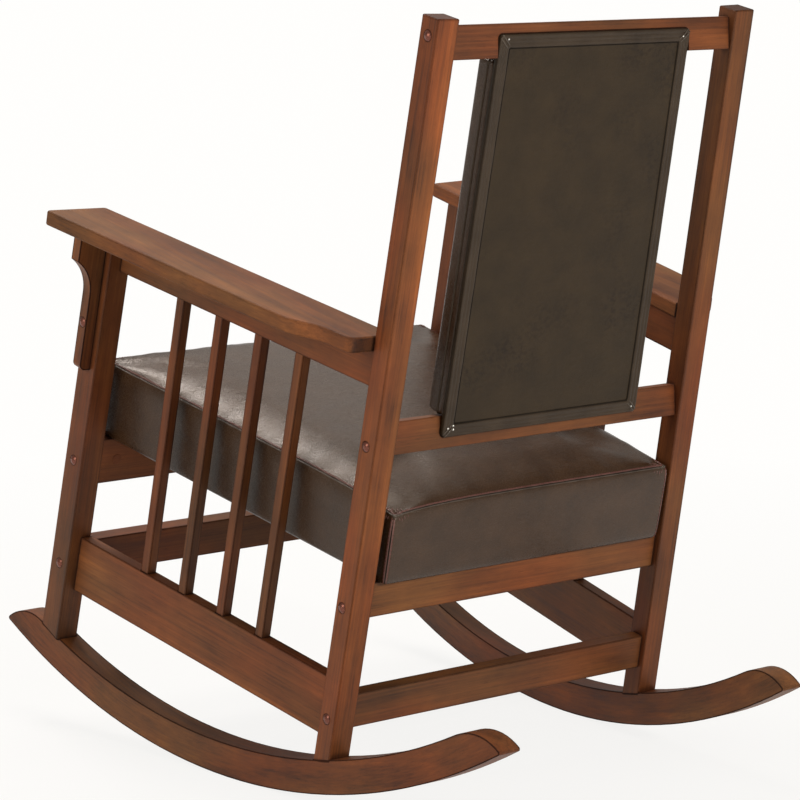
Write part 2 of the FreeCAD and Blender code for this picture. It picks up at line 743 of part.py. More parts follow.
def foot_joint(y, x, wall_solid, rocker_solid):
    angle = rocker_angle(y)
    out = V(0, -math.sin(math.radians(angle)), math.cos(math.radians(angle)))
    along = V(0, out.z, -out.y)
    seat = arc_point(rocker_inner + seat_in, angle)
    seat.x = x
    dowel = pin(leg_dowel_d / 2, seat - out * (leg_dowel_l / 2 - fit), out, leg_dowel_l - 2 * fit)
    socket = pin(leg_dowel_d / 2 + fit, seat - out * (leg_dowel_l / 2), out, leg_dowel_l)
    foot = arc_point(rocker_radius - rocker_screw_sink, angle)
    foot.x = x
    foot = foot + along * rocker_screw_step
    head = pin(screw_head_d / 2, foot, out, screw_head_l)
    shank = pin(rocker_screw_d / 2, foot + out * screw_head_l, out, rocker_screw_l - screw_head_l)
    sink = pin(screw_head_d / 2 + fit, foot - out * rocker_deep, out, rocker_deep + screw_head_l + fit)
    pilot = pin(rocker_screw_d / 2 + fit, foot, out, rocker_screw_l + fit)
    leg_dowels.append(dowel)
    rocker_screws.append(head.fuse(shank).removeSplitter())
    tools = [socket, sink, pilot]
    return cut_all(wall_solid, tools), cut_all(rocker_solid, tools)


post_foot_x = rear_half - post_w / 2
leg_foot_x = rear_half + front_spread - leg_w / 2
post, rocker = foot_joint(-post_d / 2, post_foot_x, post, rocker)
leg, rocker = foot_joint(leg_line(0), leg_foot_x, leg, rocker)
post = cut_all(post, post_tools)
leg = cut_all(leg, leg_tools)

# Dowel from the leg and screws from the arm rail into the arm
up = V(0, 0, 1)
arm_y = leg_line(arm_under)
arm_x = front_spread - leg_w / 2
arm_dowel = from_side(pin(arm_dowel_d / 2, V(arm_x, arm_y, arm_under + arm_dowel_up - arm_dowel_l + fit), up,
                          arm_dowel_l - 2 * fit))
arm_socket = from_side(pin(arm_dowel_d / 2 + fit, V(arm_x, arm_y, arm_under + arm_dowel_up - arm_dowel_l), up,
                           arm_dowel_l))
leg = one(leg.cut(arm_socket))
arm = one(arm.cut(arm_socket))
arm_screws = []
for y in arm_screw_at:
    tip = arm_under + arm_screw_up
    head = pin(screw_head_d / 2 - 1, V(-slat_mid, y, tip - arm_screw_l), up, screw_head_l)
    shank = pin(arm_screw_d / 2, V(-slat_mid, y, tip - arm_screw_l), up, arm_screw_l)
    sink = pin(screw_head_d / 2 - 1 + fit, V(-slat_mid, y, arm_rail_z - fit), up,
               tip - arm_screw_l + screw_head_l - arm_rail_z + 2 * fit)
    pilot = pin(arm_screw_d / 2 + fit, V(-slat_mid, y, arm_rail_z), up, tip + fit - arm_rail_z)
    arm_screws.append(from_side(from_rail(head.fuse(shank).removeSplitter())))
    tools = [from_side(from_rail(t)) for t in (sink, pilot)]
    arm_rail = cut_all(arm_rail, tools)
    arm = cut_all(arm, tools)

# Screws from the seat rails up into the seat boards
seat_screws = []
for side in (-1, 1):
    for y in (front_seat_rail_y, rear_seat_rail_y):
        x = side * seat_screw_x
        base = V(x, y, dust_t + seat_screw_up - seat_screw_l)
        head = pin(screw_head_d / 2, base, up, screw_head_l)
        shank = pin(seat_screw_d / 2, base, up, seat_screw_l)
        sink = pin(screw_head_d / 2 + fit, base - up * far / 10, up, far / 10 + screw_head_l + fit)
        pilot = pin(seat_screw_d / 2 + fit, base, up, seat_screw_l + fit)
        seat_screws.append(head.fuse(shank).removeSplitter())
        tools = [from_seat(t) for t in (sink, pilot)]
        front_seat_rail = cut_all(front_seat_rail, tools)
        rear_seat_rail = cut_all(rear_seat_rail, tools)
        frame_front = one(frame_front.cut(pilot))
        frame_rear = one(frame_rear.cut(pilot))
        dust = one(dust.cut(pilot))

# Screws through the rear board into the back rails
back_screws = []
for x in back_screw_x:
    for z in (top_rail_z - back_rail_h / 8, bottom_rail_z + back_rail_h / 8):
        start = V(x, plate_rear_y - plate_skin - soft_gap, z)
        shank = pin(back_screw_d / 2, start, V(0, -1, 0), back_screw_l)
        pilot = pin(back_screw_d / 2 + fit, start, V(0, -1, 0), back_screw_l + fit)
        back_screws.append(shank)
        plate_board = one(plate_board.cut(pilot))
        back_top = one(back_top.cut(pilot))
        back_bottom = one(back_bottom.cut(pilot))

# Named pieces
pair("rocker", rocker)
pair("rear_post", post)
pair("front_leg", leg)
pair("lower_side_rail", low_rail)
pair("arm_rail", arm_rail)
for i, slat in enumerate(slats):
    pair("slat_%d" % (i + 1), slat)
pair("arm", arm)
pair("corbel", corbel)
parts["back_top_rail"] = [back_top]
parts["back_bottom_rail"] = [back_bottom]
parts["rear_seat_rail"] = [rear_seat_rail]
parts["front_seat_rail"] = [front_seat_rail]
parts["rear_stretcher"] = [rear_stretcher]
parts["front_stretcher"] = [front_stretcher]
parts["seat_leather_cover"] = [from_seat(seat_cover)]
parts["seat_foam"] = [from_seat(seat_foam)]
parts["seat_front_board"] = [from_seat(frame_front)]
parts["seat_rear_board"] = [from_seat(frame_rear)]
parts["seat_left_board"] = [from_seat(frame_left)]
parts["seat_right_board"] = [from_seat(frame_right)]
parts["seat_webbing"] = [from_seat(s) for s in straps]
parts["seat_corner_blocks"] = [from_seat(b) for b in blocks]
parts["seat_dust_cover"] = [from_seat(dust)]
parts["back_rear_cover"] = [plate_cover]
parts["back_rear_board"] = [plate_board]
parts["back_core_board"] = [core]
parts["back_pad_foam"] = [pad_foam]
parts["back_pad_cover"] = [pad_cover]
parts["rail_bolts"] = both(bolts)
parts["barrel_nuts"] = both(nuts)
parts["bolt_caps"] = both(caps)
parts["rail_dowels"] = both(rail_dowels)
parts["rocker_dowels"] = both(leg_dowels)
parts["rocker_screws"] = both(rocker_screws)
parts["corbel_screws"] = both([corbel_screw])
parts["arm_dowels"] = both([arm_dowel])
parts["arm_screws"] = both(arm_screws)
parts["seat_screws"] = [from_seat(s) for s in seat_screws]
parts["back_screws"] = back_screws

# Lean the chair back, stand it on the floor and centre its footprint
placed = {}
bounds = FreeCAD.BoundBox()
for name, solids in parts.items():
    placed[name] = Part.makeCompound([turned(s, V(0, 0, 0), V(1, 0, 0), -rake) for s in solids])
    bounds.add(placed[name].BoundBox)
rest = turned(Part.Vertex(V(0, rocker_centre_y, rocker_centre_z)), V(0, 0, 0), V(1, 0, 0), -rake).Point
shift = V(0, -(bounds.YMin + bounds.YMax) / 2, rocker_radius - rest.z)
os.makedirs("parts", exist_ok=True)
for name, shape in placed.items():
    shape.translate(shift)
    if len(shape.Solids) == 1:
        shape = shape.Solids[0]
    shape.exportStep("parts/" + name + ".step")
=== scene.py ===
import math
import bmesh
import bpy
import numpy as np
from mathutils import Matrix, Vector
from mathutils.bvhtree import BVHTree


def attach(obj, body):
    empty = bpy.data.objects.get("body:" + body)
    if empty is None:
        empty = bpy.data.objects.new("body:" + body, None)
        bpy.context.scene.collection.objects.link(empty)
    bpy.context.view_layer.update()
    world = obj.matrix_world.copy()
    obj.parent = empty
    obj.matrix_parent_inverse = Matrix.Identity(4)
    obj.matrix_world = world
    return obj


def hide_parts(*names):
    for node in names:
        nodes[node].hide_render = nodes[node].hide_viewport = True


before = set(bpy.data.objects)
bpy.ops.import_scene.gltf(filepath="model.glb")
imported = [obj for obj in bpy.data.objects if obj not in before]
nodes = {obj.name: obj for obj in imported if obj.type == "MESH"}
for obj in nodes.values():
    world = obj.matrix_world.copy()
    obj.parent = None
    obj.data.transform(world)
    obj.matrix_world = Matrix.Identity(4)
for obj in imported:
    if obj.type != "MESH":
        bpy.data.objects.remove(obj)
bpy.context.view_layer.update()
scene = bpy.context.scene

# Chair axes in millimetres to the row frame in metres: x left, y to the rear, z up along the rear posts
MM = 0.001
UP, BACK, SIDEWAYS = (0, 0, 1), (0, 1, 0), (1, 0, 0)
RAKE = math.radians(11.4)
LEAN_IN = math.radians(1.33)
LEG_LEAN = math.radians(2.1)
SEAT_SLOPE = math.radians(0.7)
SPREAD = 48.8 / 573.7
TOE = math.atan(SPREAD)
POST_DEPTH = 30.0
SEAT_HEIGHT = 294.5
ROCKER_R = 0.924
POST_FOOT = (0, 0.165727, -0.007128)
CHAIR = Matrix.Translation(POST_FOOT) @ Matrix.Rotation(-RAKE, 4, "X") @ Matrix.Scale(MM, 4)
SEAT = CHAIR @ Matrix.Translation((0, 0, SEAT_HEIGHT)) @ Matrix.Rotation(-SEAT_SLOPE, 4, "X")


def unit(place, v):
    """A direction in a piece's own axes as a unit vector in the row frame."""
    return (place.to_3x3() @ Vector(v)).normalized()


def direction(v, side=1, rail=False, leg=False):
    """A direction in side axes as a unit vector in the row frame."""
    v = Vector(v)
    if rail:
        v = Matrix.Rotation(TOE, 3, "Z") @ v
    if leg:
        v = Matrix.Rotation(-LEG_LEAN, 3, "X") @ v
    v = Matrix.Rotation(-LEAN_IN, 3, "Y") @ v
    v.x *= side
    return unit(CHAIR, v)


# Node helpers
def connect(tree, socket, value):
    """Feed an input from another node's output, or set it to a value."""
    if isinstance(value, bpy.types.NodeSocket):
        tree.links.new(value, socket)
    else:
        socket.default_value = value


def add(tree, kind, settings=None, links=None):
    """A node with its settings; links maps an input to a value or to another node's output."""
    node = tree.nodes.new(kind)
    for key, value in (settings or {}).items():
        setattr(node, key, value)
    for key, value in (links or {}).items():
        connect(tree, node.inputs[key], value)
    return node


def operands(*values):
    return {key: value for key, value in enumerate(values) if value is not None}


def math_node(tree, op, a, b=None, c=None):
    return add(tree, "ShaderNodeMath", {"operation": op}, operands(a, b, c)).outputs[0]


def vector_node(tree, op, a, b=None, c=None):
    node = add(tree, "ShaderNodeVectorMath", {"operation": op}, operands(a, b, c))
    return node.outputs["Value" if op in ("DOT_PRODUCT", "LENGTH") else "Vector"]


def weighted(tree, *terms):
    """The sum of values, each times its weight."""
    total = None
    for value, weight in terms:
        part = math_node(tree, "MULTIPLY", value, weight)
        total = part if total is None else math_node(tree, "ADD", total, part)
    return total


def noise(tree, vector, scale, detail, rough=0.5, distort=0.0):
    return add(tree, "ShaderNodeTexNoise", None, {"Vector": vector, "Scale": scale, "Detail": detail,
                                                  "Roughness": rough, "Distortion": distort})


def step_up(tree, value, low, high, curve="SMOOTHSTEP"):
    """0 below low, 1 above high."""
    return add(tree, "ShaderNodeMapRange", {"interpolation_type": curve},
               {"Value": value, "From Min": low, "From Max": high}).outputs[0]


def ramp(tree, value, stops):
    node = add(tree, "ShaderNodeValToRGB", None, {"Fac": value})
    while len(node.color_ramp.elements) < len(stops):
        node.color_ramp.elements.new(0.5)
    for element, (place, colour) in zip(node.color_ramp.elements, stops):
        element.position = place
        element.color = (*colour, 1.0)
    return node.outputs["Color"]


def mix(tree, kind, factor, a, b):
    node = add(tree, "ShaderNodeMix", {"data_type": "RGBA", "blend_type": kind}, {0: factor})
    for key, colour in ((6, a), (7, b)):
        connect(tree, node.inputs[key], colour if isinstance(colour, bpy.types.NodeSocket) else (*colour, 1.0))
    return node.outputs[2]


def stain_and_shade(tree, colour, mask, amount, tone):
    """The colour multiplied by a tone where the mask shows."""
    return mix(tree, "MULTIPLY", math_node(tree, "MULTIPLY", mask, amount), colour, tone)


# Shader groups: each gives colours, masks or values only
def new_group(name, inputs, outputs):
    tree = bpy.data.node_groups.new(name, "ShaderNodeTree")
    for socket, kind, value in inputs:
        item = tree.interface.new_socket(socket, in_out="INPUT", socket_type=kind)
        if value is not None:
            item.default_value = value
    for socket, kind in outputs:
        tree.interface.new_socket(socket, in_out="OUTPUT", socket_type=kind)
    return tree, tree.nodes.new("NodeGroupInput"), tree.nodes.new("NodeGroupOutput")


def give(tree, sink, values):
    for name, value in values.items():
        tree.links.new(value, sink.inputs[name])
    return tree


def board_axes_group():
    """Object coordinates turned so that X runs along the grain of a straight board."""
    tree, source, sink = new_group(
        "board axes",
        [("Vector", "NodeSocketVector", None), ("Along", "NodeSocketVector", SIDEWAYS),
         ("Across", "NodeSocketVector", BACK), ("Shift", "NodeSocketVector", (0, 0, 0))],
        [("Vector", "NodeSocketVector")])
    along, across = source.outputs["Along"], source.outputs["Across"]
    third = vector_node(tree, "CROSS_PRODUCT", along, across)
    dots = [vector_node(tree, "DOT_PRODUCT", source.outputs["Vector"], axis) for axis in (along, across, third)]
    joined = add(tree, "ShaderNodeCombineXYZ", None, operands(*dots)).outputs[0]
    return give(tree, sink, {"Vector": vector_node(tree, "ADD", joined, source.outputs["Shift"])})


def bow_axes_group():
    """Object coordinates unrolled round the rocker's centre, so that X follows the bow."""
    tree, source, sink = new_group(
        "bow axes", [("Vector", "NodeSocketVector", None), ("Shift", "NodeSocketVector", (0, 0, 0))],
        [("Vector", "NodeSocketVector")])
    parts = add(tree, "ShaderNodeSeparateXYZ", None, {0: source.outputs["Vector"]})
    drop = math_node(tree, "SUBTRACT", ROCKER_R, parts.outputs["Z"])
    turn = math_node(tree, "ARCTAN2", parts.outputs["Y"], drop)
    along = math_node(tree, "MULTIPLY", turn, ROCKER_R)
    square = math_node(tree, "ADD", math_node(tree, "POWER", parts.outputs["Y"], 2.0),
                       math_node(tree, "POWER", drop, 2.0))
    reach = math_node(tree, "SQRT", square)
    joined = add(tree, "ShaderNodeCombineXYZ", None, {0: along, 1: parts.outputs["X"], 2: reach}).outputs[0]
    return give(tree, sink, {"Vector": vector_node(tree, "ADD", joined, source.outputs["Shift"])})


def grain_group():
    """Stained timber: broad bands, fine streaks and short dark pores along X."""
    tree, source, sink = new_group(
        "timber grain", [("Vector", "NodeSocketVector", None)],
        [("Color", "NodeSocketColor"), ("Roughness", "NodeSocketFloat"), ("Height", "NodeSocketFloat")])

    def streaks(scale, detail, rough, distort=0.0):
        stretched = vector_node(tree, "MULTIPLY", source.outputs["Vector"], scale)
        return noise(tree, stretched, 1.0, detail, rough, distort).outputs["Fac"]

    bands = streaks((1.6, 30.0, 30.0), 3.0, 0.5, 0.8)
    fine = streaks((7.0, 330.0, 330.0), 5.0, 0.65)
    pores = streaks((60.0, 1300.0, 1300.0), 2.0, 0.5)
    cloud = streaks((7.0, 14.0, 14.0), 4.0, 0.6)
    tone = weighted(tree, (bands, 0.32), (fine, 0.31), (cloud, 0.37))
    colour = ramp(tree, tone, [(0.35, (0.048, 0.0170, 0.0062)), (0.44, (0.116, 0.0390, 0.0118)),
                               (0.53, (0.176, 0.0585, 0.0168)), (0.63, (0.262, 0.0880, 0.0245))])
    drift = ramp(tree, streaks((4.0, 9.0, 9.0), 2.0, 0.5),
                 [(0.36, (1.09, 0.89, 0.81)), (0.64, (0.93, 1.06, 1.09))])
    colour = mix(tree, "MULTIPLY", 1.0, colour, drift)
    pore_mask = math_node(tree, "GREATER_THAN", pores, 0.64)
    colour = stain_and_shade(tree, colour, pore_mask, 0.40, (0.30, 0.22, 0.18))
    return give(tree, sink, {"Color": colour, "Roughness": math_node(tree, "MULTIPLY_ADD", fine, 0.24, 0.40),
                             "Height": weighted(tree, (fine, 0.5), (pore_mask, -0.3))})


def glaze_and_shade_group():
    """Two masks: the dark glaze along outer edges, and painted shade where pieces meet and other surfaces come close.
    """
    tree, source, sink = new_group(
        "glaze and painted shade masks", [("Edge", "NodeSocketFloat", 0.004), ("Painted Shade", "NodeSocketFloat", 0.010)],
        [("Edge", "NodeSocketFloat"), ("Painted Shade", "NodeSocketFloat")])

    def closed_in(inside, reach, low, high):
        node = add(tree, "ShaderNodeAmbientOcclusion", {"samples": 8, "inside": inside, "only_local": inside},
                   {"Distance": reach})
        return step_up(tree, math_node(tree, "SUBTRACT", 1.0, node.outputs["AO"]), low, high)

    return give(tree, sink, {"Edge": closed_in(True, source.outputs["Edge"], 0.02, 0.15),
                             "Painted Shade": closed_in(False, source.outputs["Painted Shade"], 0.10, 0.60)})


def hide_group():
    """Leather: pebbled grain, soft mottling and creases."""
    tree, source, sink = new_group(
        "hide grain", [("Vector", "NodeSocketVector", None), ("Pebble", "NodeSocketFloat", 620.0)],
        [("Mottle", "NodeSocketFloat"), ("Crackle", "NodeSocketFloat"), ("Roughness", "NodeSocketFloat"),
         ("Height", "NodeSocketFloat")])
    vector = source.outputs["Vector"]
    wobble = noise(tree, vector, 180.0, 2.0).outputs["Color"]
    shifted = vector_node(tree, "MULTIPLY_ADD", wobble, (0.0016, 0.0016, 0.0016), vector)
    cells = add(tree, "ShaderNodeTexVoronoi", {"feature": "DISTANCE_TO_EDGE"},
                {"Vector": shifted, "Scale": source.outputs["Pebble"]}).outputs["Distance"]
    pebble = step_up(tree, cells, 0.0, 0.22)
    mottle = noise(tree, vector, 26.0, 5.0, 0.62).outputs["Fac"]
    broad = noise(tree, vector, 7.0, 2.0).outputs["Fac"]
    drawn = vector_node(tree, "MULTIPLY", vector, (70.0, 260.0, 260.0))
    wrinkle = noise(tree, drawn, 1.0, 4.0, 0.6, 0.7).outputs["Fac"]
    speck = noise(tree, vector, 150.0, 5.0, 0.7).outputs["Fac"]
    crackle = math_node(tree, "MULTIPLY", step_up(tree, broad, 0.48, 0.66),
                        step_up(tree, speck, 0.46, 0.60, "LINEAR"))
    gaps = math_node(tree, "SUBTRACT", 1.0, pebble)
    rough = math_node(tree, "ADD", weighted(tree, (mottle, 0.12), (gaps, 0.08), (wrinkle, 0.14)), 0.13)
    return give(tree, sink, {"Mottle": mottle, "Crackle": crackle, "Roughness": rough,
                             "Height": weighted(tree, (pebble, 0.32), (broad, 2.0), (wrinkle, 1.6))})


BOARD = board_axes_group()
BOW = bow_axes_group()
GRAIN = grain_group()
GLAZE_AND_SHADE = glaze_and_shade_group()
HIDE = hide_group()


def new_material(name):
    material = bpy.data.materials.new(name)
    material.use_nodes = True
    return material, material.node_tree, material.node_tree.nodes["Principled BSDF"]


def use(tree, group, links):
    return add(tree, "ShaderNodeGroup", {"node_tree": group}, links)


def bump(tree, shader, height, distance, strength):
    node = add(tree, "ShaderNodeBump", None, {"Height": height, "Distance": distance, "Strength": strength})
    tree.links.new(node.outputs["Normal"], shader.inputs["Normal"])


# Width of the dark glaze along edges, and a narrower one for rails with bores close to their edges
GLAZE, THIN_GLAZE = 0.0019, 0.0011


def wood(name, along=None, across=None, shift=(0, 0, 0), tint=1.0, edge_width=GLAZE, dull=0.0, warm=1.0):
    """Stained, lacquered timber with its grain along a board, or along the bow where no axis is given; painted shade
    darkens it where other parts come close.
    """
    material, tree, shader = new_material(name)
    coords = add(tree, "ShaderNodeTexCoord")
    place = coords.outputs["Object"]
    if along is None:
        axes = use(tree, BOW, {"Vector": place, "Shift": shift})
    else:
        axes = use(tree, BOARD, {"Vector": place, "Along": along, "Across": across, "Shift": shift})
    grain = use(tree, GRAIN, {"Vector": axes.outputs["Vector"]})
    edge_and_shade_masks = use(tree, GLAZE_AND_SHADE, {"Edge": edge_width, "Painted Shade": 0.010})
    colour = mix(tree, "MULTIPLY", 1.0, grain.outputs["Color"], (tint * warm, tint, tint / warm))
    if along is not None:
        facing = vector_node(tree, "DOT_PRODUCT", coords.outputs["Normal"], along)
        end_grain = step_up(tree, math_node(tree, "ABSOLUTE", facing), 0.80, 0.95, "LINEAR")
        colour = mix(tree, "MULTIPLY", end_grain, colour, (0.42, 0.38, 0.36))
    edge = edge_and_shade_masks.outputs["Edge"]
    colour = stain_and_shade(tree, colour, edge, 0.90, (0.14, 0.11, 0.09))
    # Painted shade: the wood is darkened wherever another part comes within 10 mm, where pieces meet.
    colour = stain_and_shade(tree, colour, edge_and_shade_masks.outputs["Painted Shade"], 0.80, (0.34, 0.28, 0.24))
    tree.links.new(colour, shader.inputs["Base Color"])
    rough = math_node(tree, "MAXIMUM", math_node(tree, "ADD", grain.outputs["Roughness"], dull),
                      math_node(tree, "MULTIPLY", edge, 0.95))
    tree.links.new(rough, shader.inputs["Roughness"])
    shader.inputs["Specular IOR Level"].default_value = 0.24
    bump(tree, shader, grain.outputs["Height"], 0.00025, 0.35)
    return material


def leather(name, dark, light, rough_add=0.0, pebble=620.0, shine=0.35, crackle=0.3):
    """Hide that mottles between two colours, with darker crackled patches."""
    material, tree, shader = new_material(name)
    place = add(tree, "ShaderNodeTexCoord").outputs["Object"]
    hide = use(tree, HIDE, {"Vector": place, "Pebble": pebble})
    colour = ramp(tree, hide.outputs["Mottle"], [(0.36, dark), (0.68, light)])
    colour = stain_and_shade(tree, colour, hide.outputs["Crackle"], crackle, (0.45, 0.38, 0.42))
    tree.links.new(colour, shader.inputs["Base Color"])
    tree.links.new(math_node(tree, "ADD", hide.outputs["Roughness"], rough_add), shader.inputs["Roughness"])
    shader.inputs["Specular IOR Level"].default_value = shine
    shader.inputs["Specular Tint"].default_value = (1.0, 0.92, 0.82, 1)
    bump(tree, shader, hide.outputs["Height"], 0.0006, 0.36)
    return material


def plain(name, colour, rough, scale, amount, metal=0.0, stretch=(1, 1, 1)):
    """Small and inner pieces: one colour with a fine mottle and bump."""
    material, tree, shader = new_material(name)
    place = add(tree, "ShaderNodeTexCoord").outputs["Object"]
    speckle = noise(tree, vector_node(tree, "MULTIPLY", place, stretch), scale, 4.0).outputs["Fac"]
    low = tuple(c * (1 - amount) for c in colour)
    high = tuple(min(1.0, c * (1 + amount)) for c in colour)
    tree.links.new(ramp(tree, speckle, [(0.3, low), (0.7, high)]), shader.inputs["Base Color"])
    tree.links.new(math_node(tree, "MULTIPLY_ADD", speckle, 0.12, rough - 0.06), shader.inputs["Roughness"])
    shader.inputs["Metallic"].default_value = metal
    bump(tree, shader, speckle, 0.0003, 0.25)
    return material


def dress(name, material):
    """A CAD node keeps its shape and takes a finish."""
    mesh = nodes[name].data
    mesh.materials.clear()
    mesh.materials.append(material)


# Timber: one material for each run of grain, each cut from another place in the grain
for word, side, seed in (("left", 1, 0.0), ("right", -1, 3.7)):
    rail_run = direction(BACK, side, rail=True)
    out = direction(SIDEWAYS, side)
    post_run = direction(UP, side)
    leg_run = direction(UP, side, leg=True)
    # Painted light and shade: the left post, on the lamp side, is lightened and warmed and the right post darkened.
    post_light_and_shade = 1.18 if side > 0 else 0.80
    # In this table the front legs' tint of 0.78 is painted shade and the arms' 1.12 painted light; the other tints
    # lighten or darken single pieces.
    boards = (
        ("rear_post", "post", post_run, out, (seed, 0.11, 0.23), post_light_and_shade, {"warm": 1.06}),
        ("front_leg", "leg", leg_run, out, (seed + 0.9, 0.31, 0.03), 0.78, {}),
        ("lower_side_rail", "low rail", rail_run, post_run, (seed + 1.3, 0.07, 0.41), 1.10, {}),
        ("arm_rail", "arm rail", rail_run, post_run, (seed + 2.1, 0.19, 0.15), 0.97, {}),
        ("arm", "arm", rail_run, out, (seed + 2.6, 0.37, 0.29), 1.12, {"dull": 0.10, "warm": 0.97}),
        ("corbel", "corbel", leg_run, out, (seed + 3.1, 0.05, 0.33), 1.04, {}),
    )
    for node, label, along, across, shift, tint, more in boards:
        dress(word + "_" + node, wood("%s %s timber" % (word, label), along, across, shift, tint, **more))
    dress(word + "_rocker", wood(word + " rocker timber", shift=(seed + 3.4, 0.43, 0.02)))
    # Painted shade: the tint of 0.86 darkens the slats.
    slat_timber = wood(word + " slat timber", post_run, out, (seed + 1.7, 0.23, 0.09), 0.86)
    for i in range(4):
        dress(word + "_slat_%d" % (i + 1), slat_timber)
plumb = unit(CHAIR, UP)
for i, name in enumerate(("back_top_rail", "back_bottom_rail", "rear_seat_rail", "front_seat_rail",
                          "rear_stretcher", "front_stretcher")):
    dress(name, wood(name.replace("_", " ") + " timber", SIDEWAYS, plumb, (0.7 * i, 0.13 * i, 0.29 * i), 0.91,
                     THIN_GLAZE if name.startswith("back") else GLAZE))

# Inner and small pieces
softwood = plain("plain softwood", (0.52, 0.36, 0.20), 0.65, 60.0, 0.18, stretch=(0.2, 1, 1))
for name in ("seat_front_board", "seat_rear_board", "seat_left_board", "seat_right_board", "seat_corner_blocks",
             "back_core_board"):
    dress(name, softwood)
dress("back_rear_board", plain("fibre board", (0.20, 0.13, 0.08), 0.85, 900.0, 0.25))
dress("seat_webbing", plain("jute webbing", (0.34, 0.25, 0.14), 0.9, 1400.0, 0.3, stretch=(1, 0.3, 1)))
dowel_wood = plain("dowel wood", (0.60, 0.44, 0.26), 0.6, 90.0, 0.15)
for name in ("rail_dowels", "rocker_dowels", "arm_dowels"):
    dress(name, dowel_wood)
steel = plain("plated steel", (0.62, 0.61, 0.58), 0.32, 500.0, 0.10, metal=1.0)
for name in ("rail_bolts", "barrel_nuts", "rocker_screws", "corbel_screws", "arm_screws", "seat_screws",
             "back_screws"):
    dress(name, steel)
dress("bolt_caps", plain("dark bronze", (0.165, 0.052, 0.032), 0.27, 700.0, 0.25, metal=0.6))
tack_steel = plain("bright tack steel", (0.72, 0.69, 0.64), 0.30, 900.0, 0.15, metal=0.9)

# Leather and trim
FINE = 900.0
seat_leather = leather("seat leather", (0.034, 0.0160, 0.0070), (0.051, 0.0250, 0.0115), -0.03, shine=0.42)
panel_leather = leather("panel leather", (0.0230, 0.0138, 0.0056), (0.0330, 0.0200, 0.0084), 0.14, shine=0.22,
                        crackle=0.8)
trim_leather = leather("trim leather", (0.029, 0.0185, 0.0105), (0.045, 0.0295, 0.0175), 0.12, FINE, 0.25)
edge_leather = leather("rolled edge leather", (0.085, 0.0330, 0.0270), (0.145, 0.0620, 0.0500), 0.0, FINE, 0.6)
# Painted shade: near-black leather for thin cords laid where seams and the panel's band are in shade.
shadow_line_leather = leather("shadow line leather", (0.010, 0.0072, 0.0050), (0.017, 0.0125, 0.0090), 0.3, FINE, 0.12)
fold_leather = leather("worn fold leather", (0.050, 0.0370, 0.0270), (0.085, 0.0640, 0.0480), 0.0, FINE, 0.5)
thread = plain("red brown thread", (0.165, 0.045, 0.036), 0.7, 2500.0, 0.25)
dust_cloth = plain("black dust cloth", (0.012, 0.012, 0.013), 0.95, 1800.0, 0.3)


# Mesh helpers
def make_object(name, verts, faces, material, smooth=True):
    mesh = bpy.data.meshes.new(name)
    mesh.from_pydata([tuple(v) for v in verts], [], [tuple(f) for f in faces])
    mesh.update()
    obj = bpy.data.objects.new(name, mesh)
    scene.collection.objects.link(obj)
    mesh.materials.append(material)
    if smooth:
        mesh.shade_smooth()
    return obj


def closed_object(name, verts, faces, material, smooth=True):
    """An object with doubled points joined and every face turned outward."""
    obj = make_object(name, verts, faces, material, smooth)
    work = bmesh.new()
    work.from_mesh(obj.data)
    bmesh.ops.remove_doubles(work, verts=work.verts, dist=1e-6)
    bmesh.ops.recalc_face_normals(work, faces=work.faces)
    work.to_mesh(obj.data)
    work.free()
    return obj


def ring_faces(first, second, count):
    """Faces between two rings of points, each given by the index of its first point."""
    return [(first + k, first + (k + 1) % count, second + (k + 1) % count, second + k) for k in range(count)]


def side_points(corners, radius, shares):
    """Four runs of points round a rounded quadrilateral, each from one corner's middle to the next."""
    count = len(corners)
    arcs = []
    for i in range(count):
        here = np.array(corners[i], float)
        a = np.array(corners[i - 1], float) - here
        b = np.array(corners[(i + 1) % count], float) - here
        a /= np.hypot(*a)
        b /= np.hypot(*b)
        half = math.acos(max(-1, min(1, float(a @ b)))) / 2
        bis = (a + b) / np.hypot(*(a + b))
        centre = here + bis * radius / math.sin(half)
        start = here + a * radius / math.tan(half)
        end = here + b * radius / math.tan(half)
        a0 = math.atan2(*(start - centre)[::-1])
        sweep = math.atan2(*(end - centre)[::-1]) - a0
        sweep = (sweep + math.pi) % (2 * math.pi) - math.pi
        arcs.append([centre + radius * np.array((math.cos(a0 + sweep * t), math.sin(a0 + sweep * t)))
                     for t in np.linspace(0, 1, 17)])
    runs = []
    for i in range(count):
        line = np.array(arcs[i][8:] + arcs[(i + 1) % count][:9])
        length = np.concatenate([[0], np.cumsum(np.hypot(*np.diff(line, axis=0).T))])
        want = shares[i % 2] * length[-1]
        runs.append(np.stack([np.interp(want, length, line[:, k]) for k in (0, 1)], -1))
    return runs


def around(corners, radius, shares):
    """The four runs as one closed loop of points."""
    return np.concatenate([run[:-1] for run in side_points(corners, radius, shares)])


def placed(loop, height, place):
    return [place @ Vector((x, y, height)) for x, y in loop]


def spread(count, near):
    """Shares from 0 to 1 that crowd toward both ends: a few close rows beside the seam, then even ones."""
    rest = np.linspace(near[-1], 1 - near[-1], count)
    return np.concatenate([[0], near[:-1], rest, 1 - np.array(near[:-1])[::-1], [1]])


def rise(distance, reach):
    return 1 - math.exp(-distance / reach)


def ripple(run, d):
    """Puckers beside a seam: short ones close to it and longer ones further in."""
    short = math.sin(run / 5.3 + 1.7 * math.sin(run / 37.0)) * math.exp(-d / 20.0) * rise(d, 5.0)
    wide = math.sin(run / 13.0 + 2.3 * math.sin(run / 61.0) + d / 40.0) * math.exp(-d / 60.0) * rise(d, 9.0)
    return short + 0.8 * wide


GROOVE_HALF = 1.8
STEEP_SHARE = 0.58


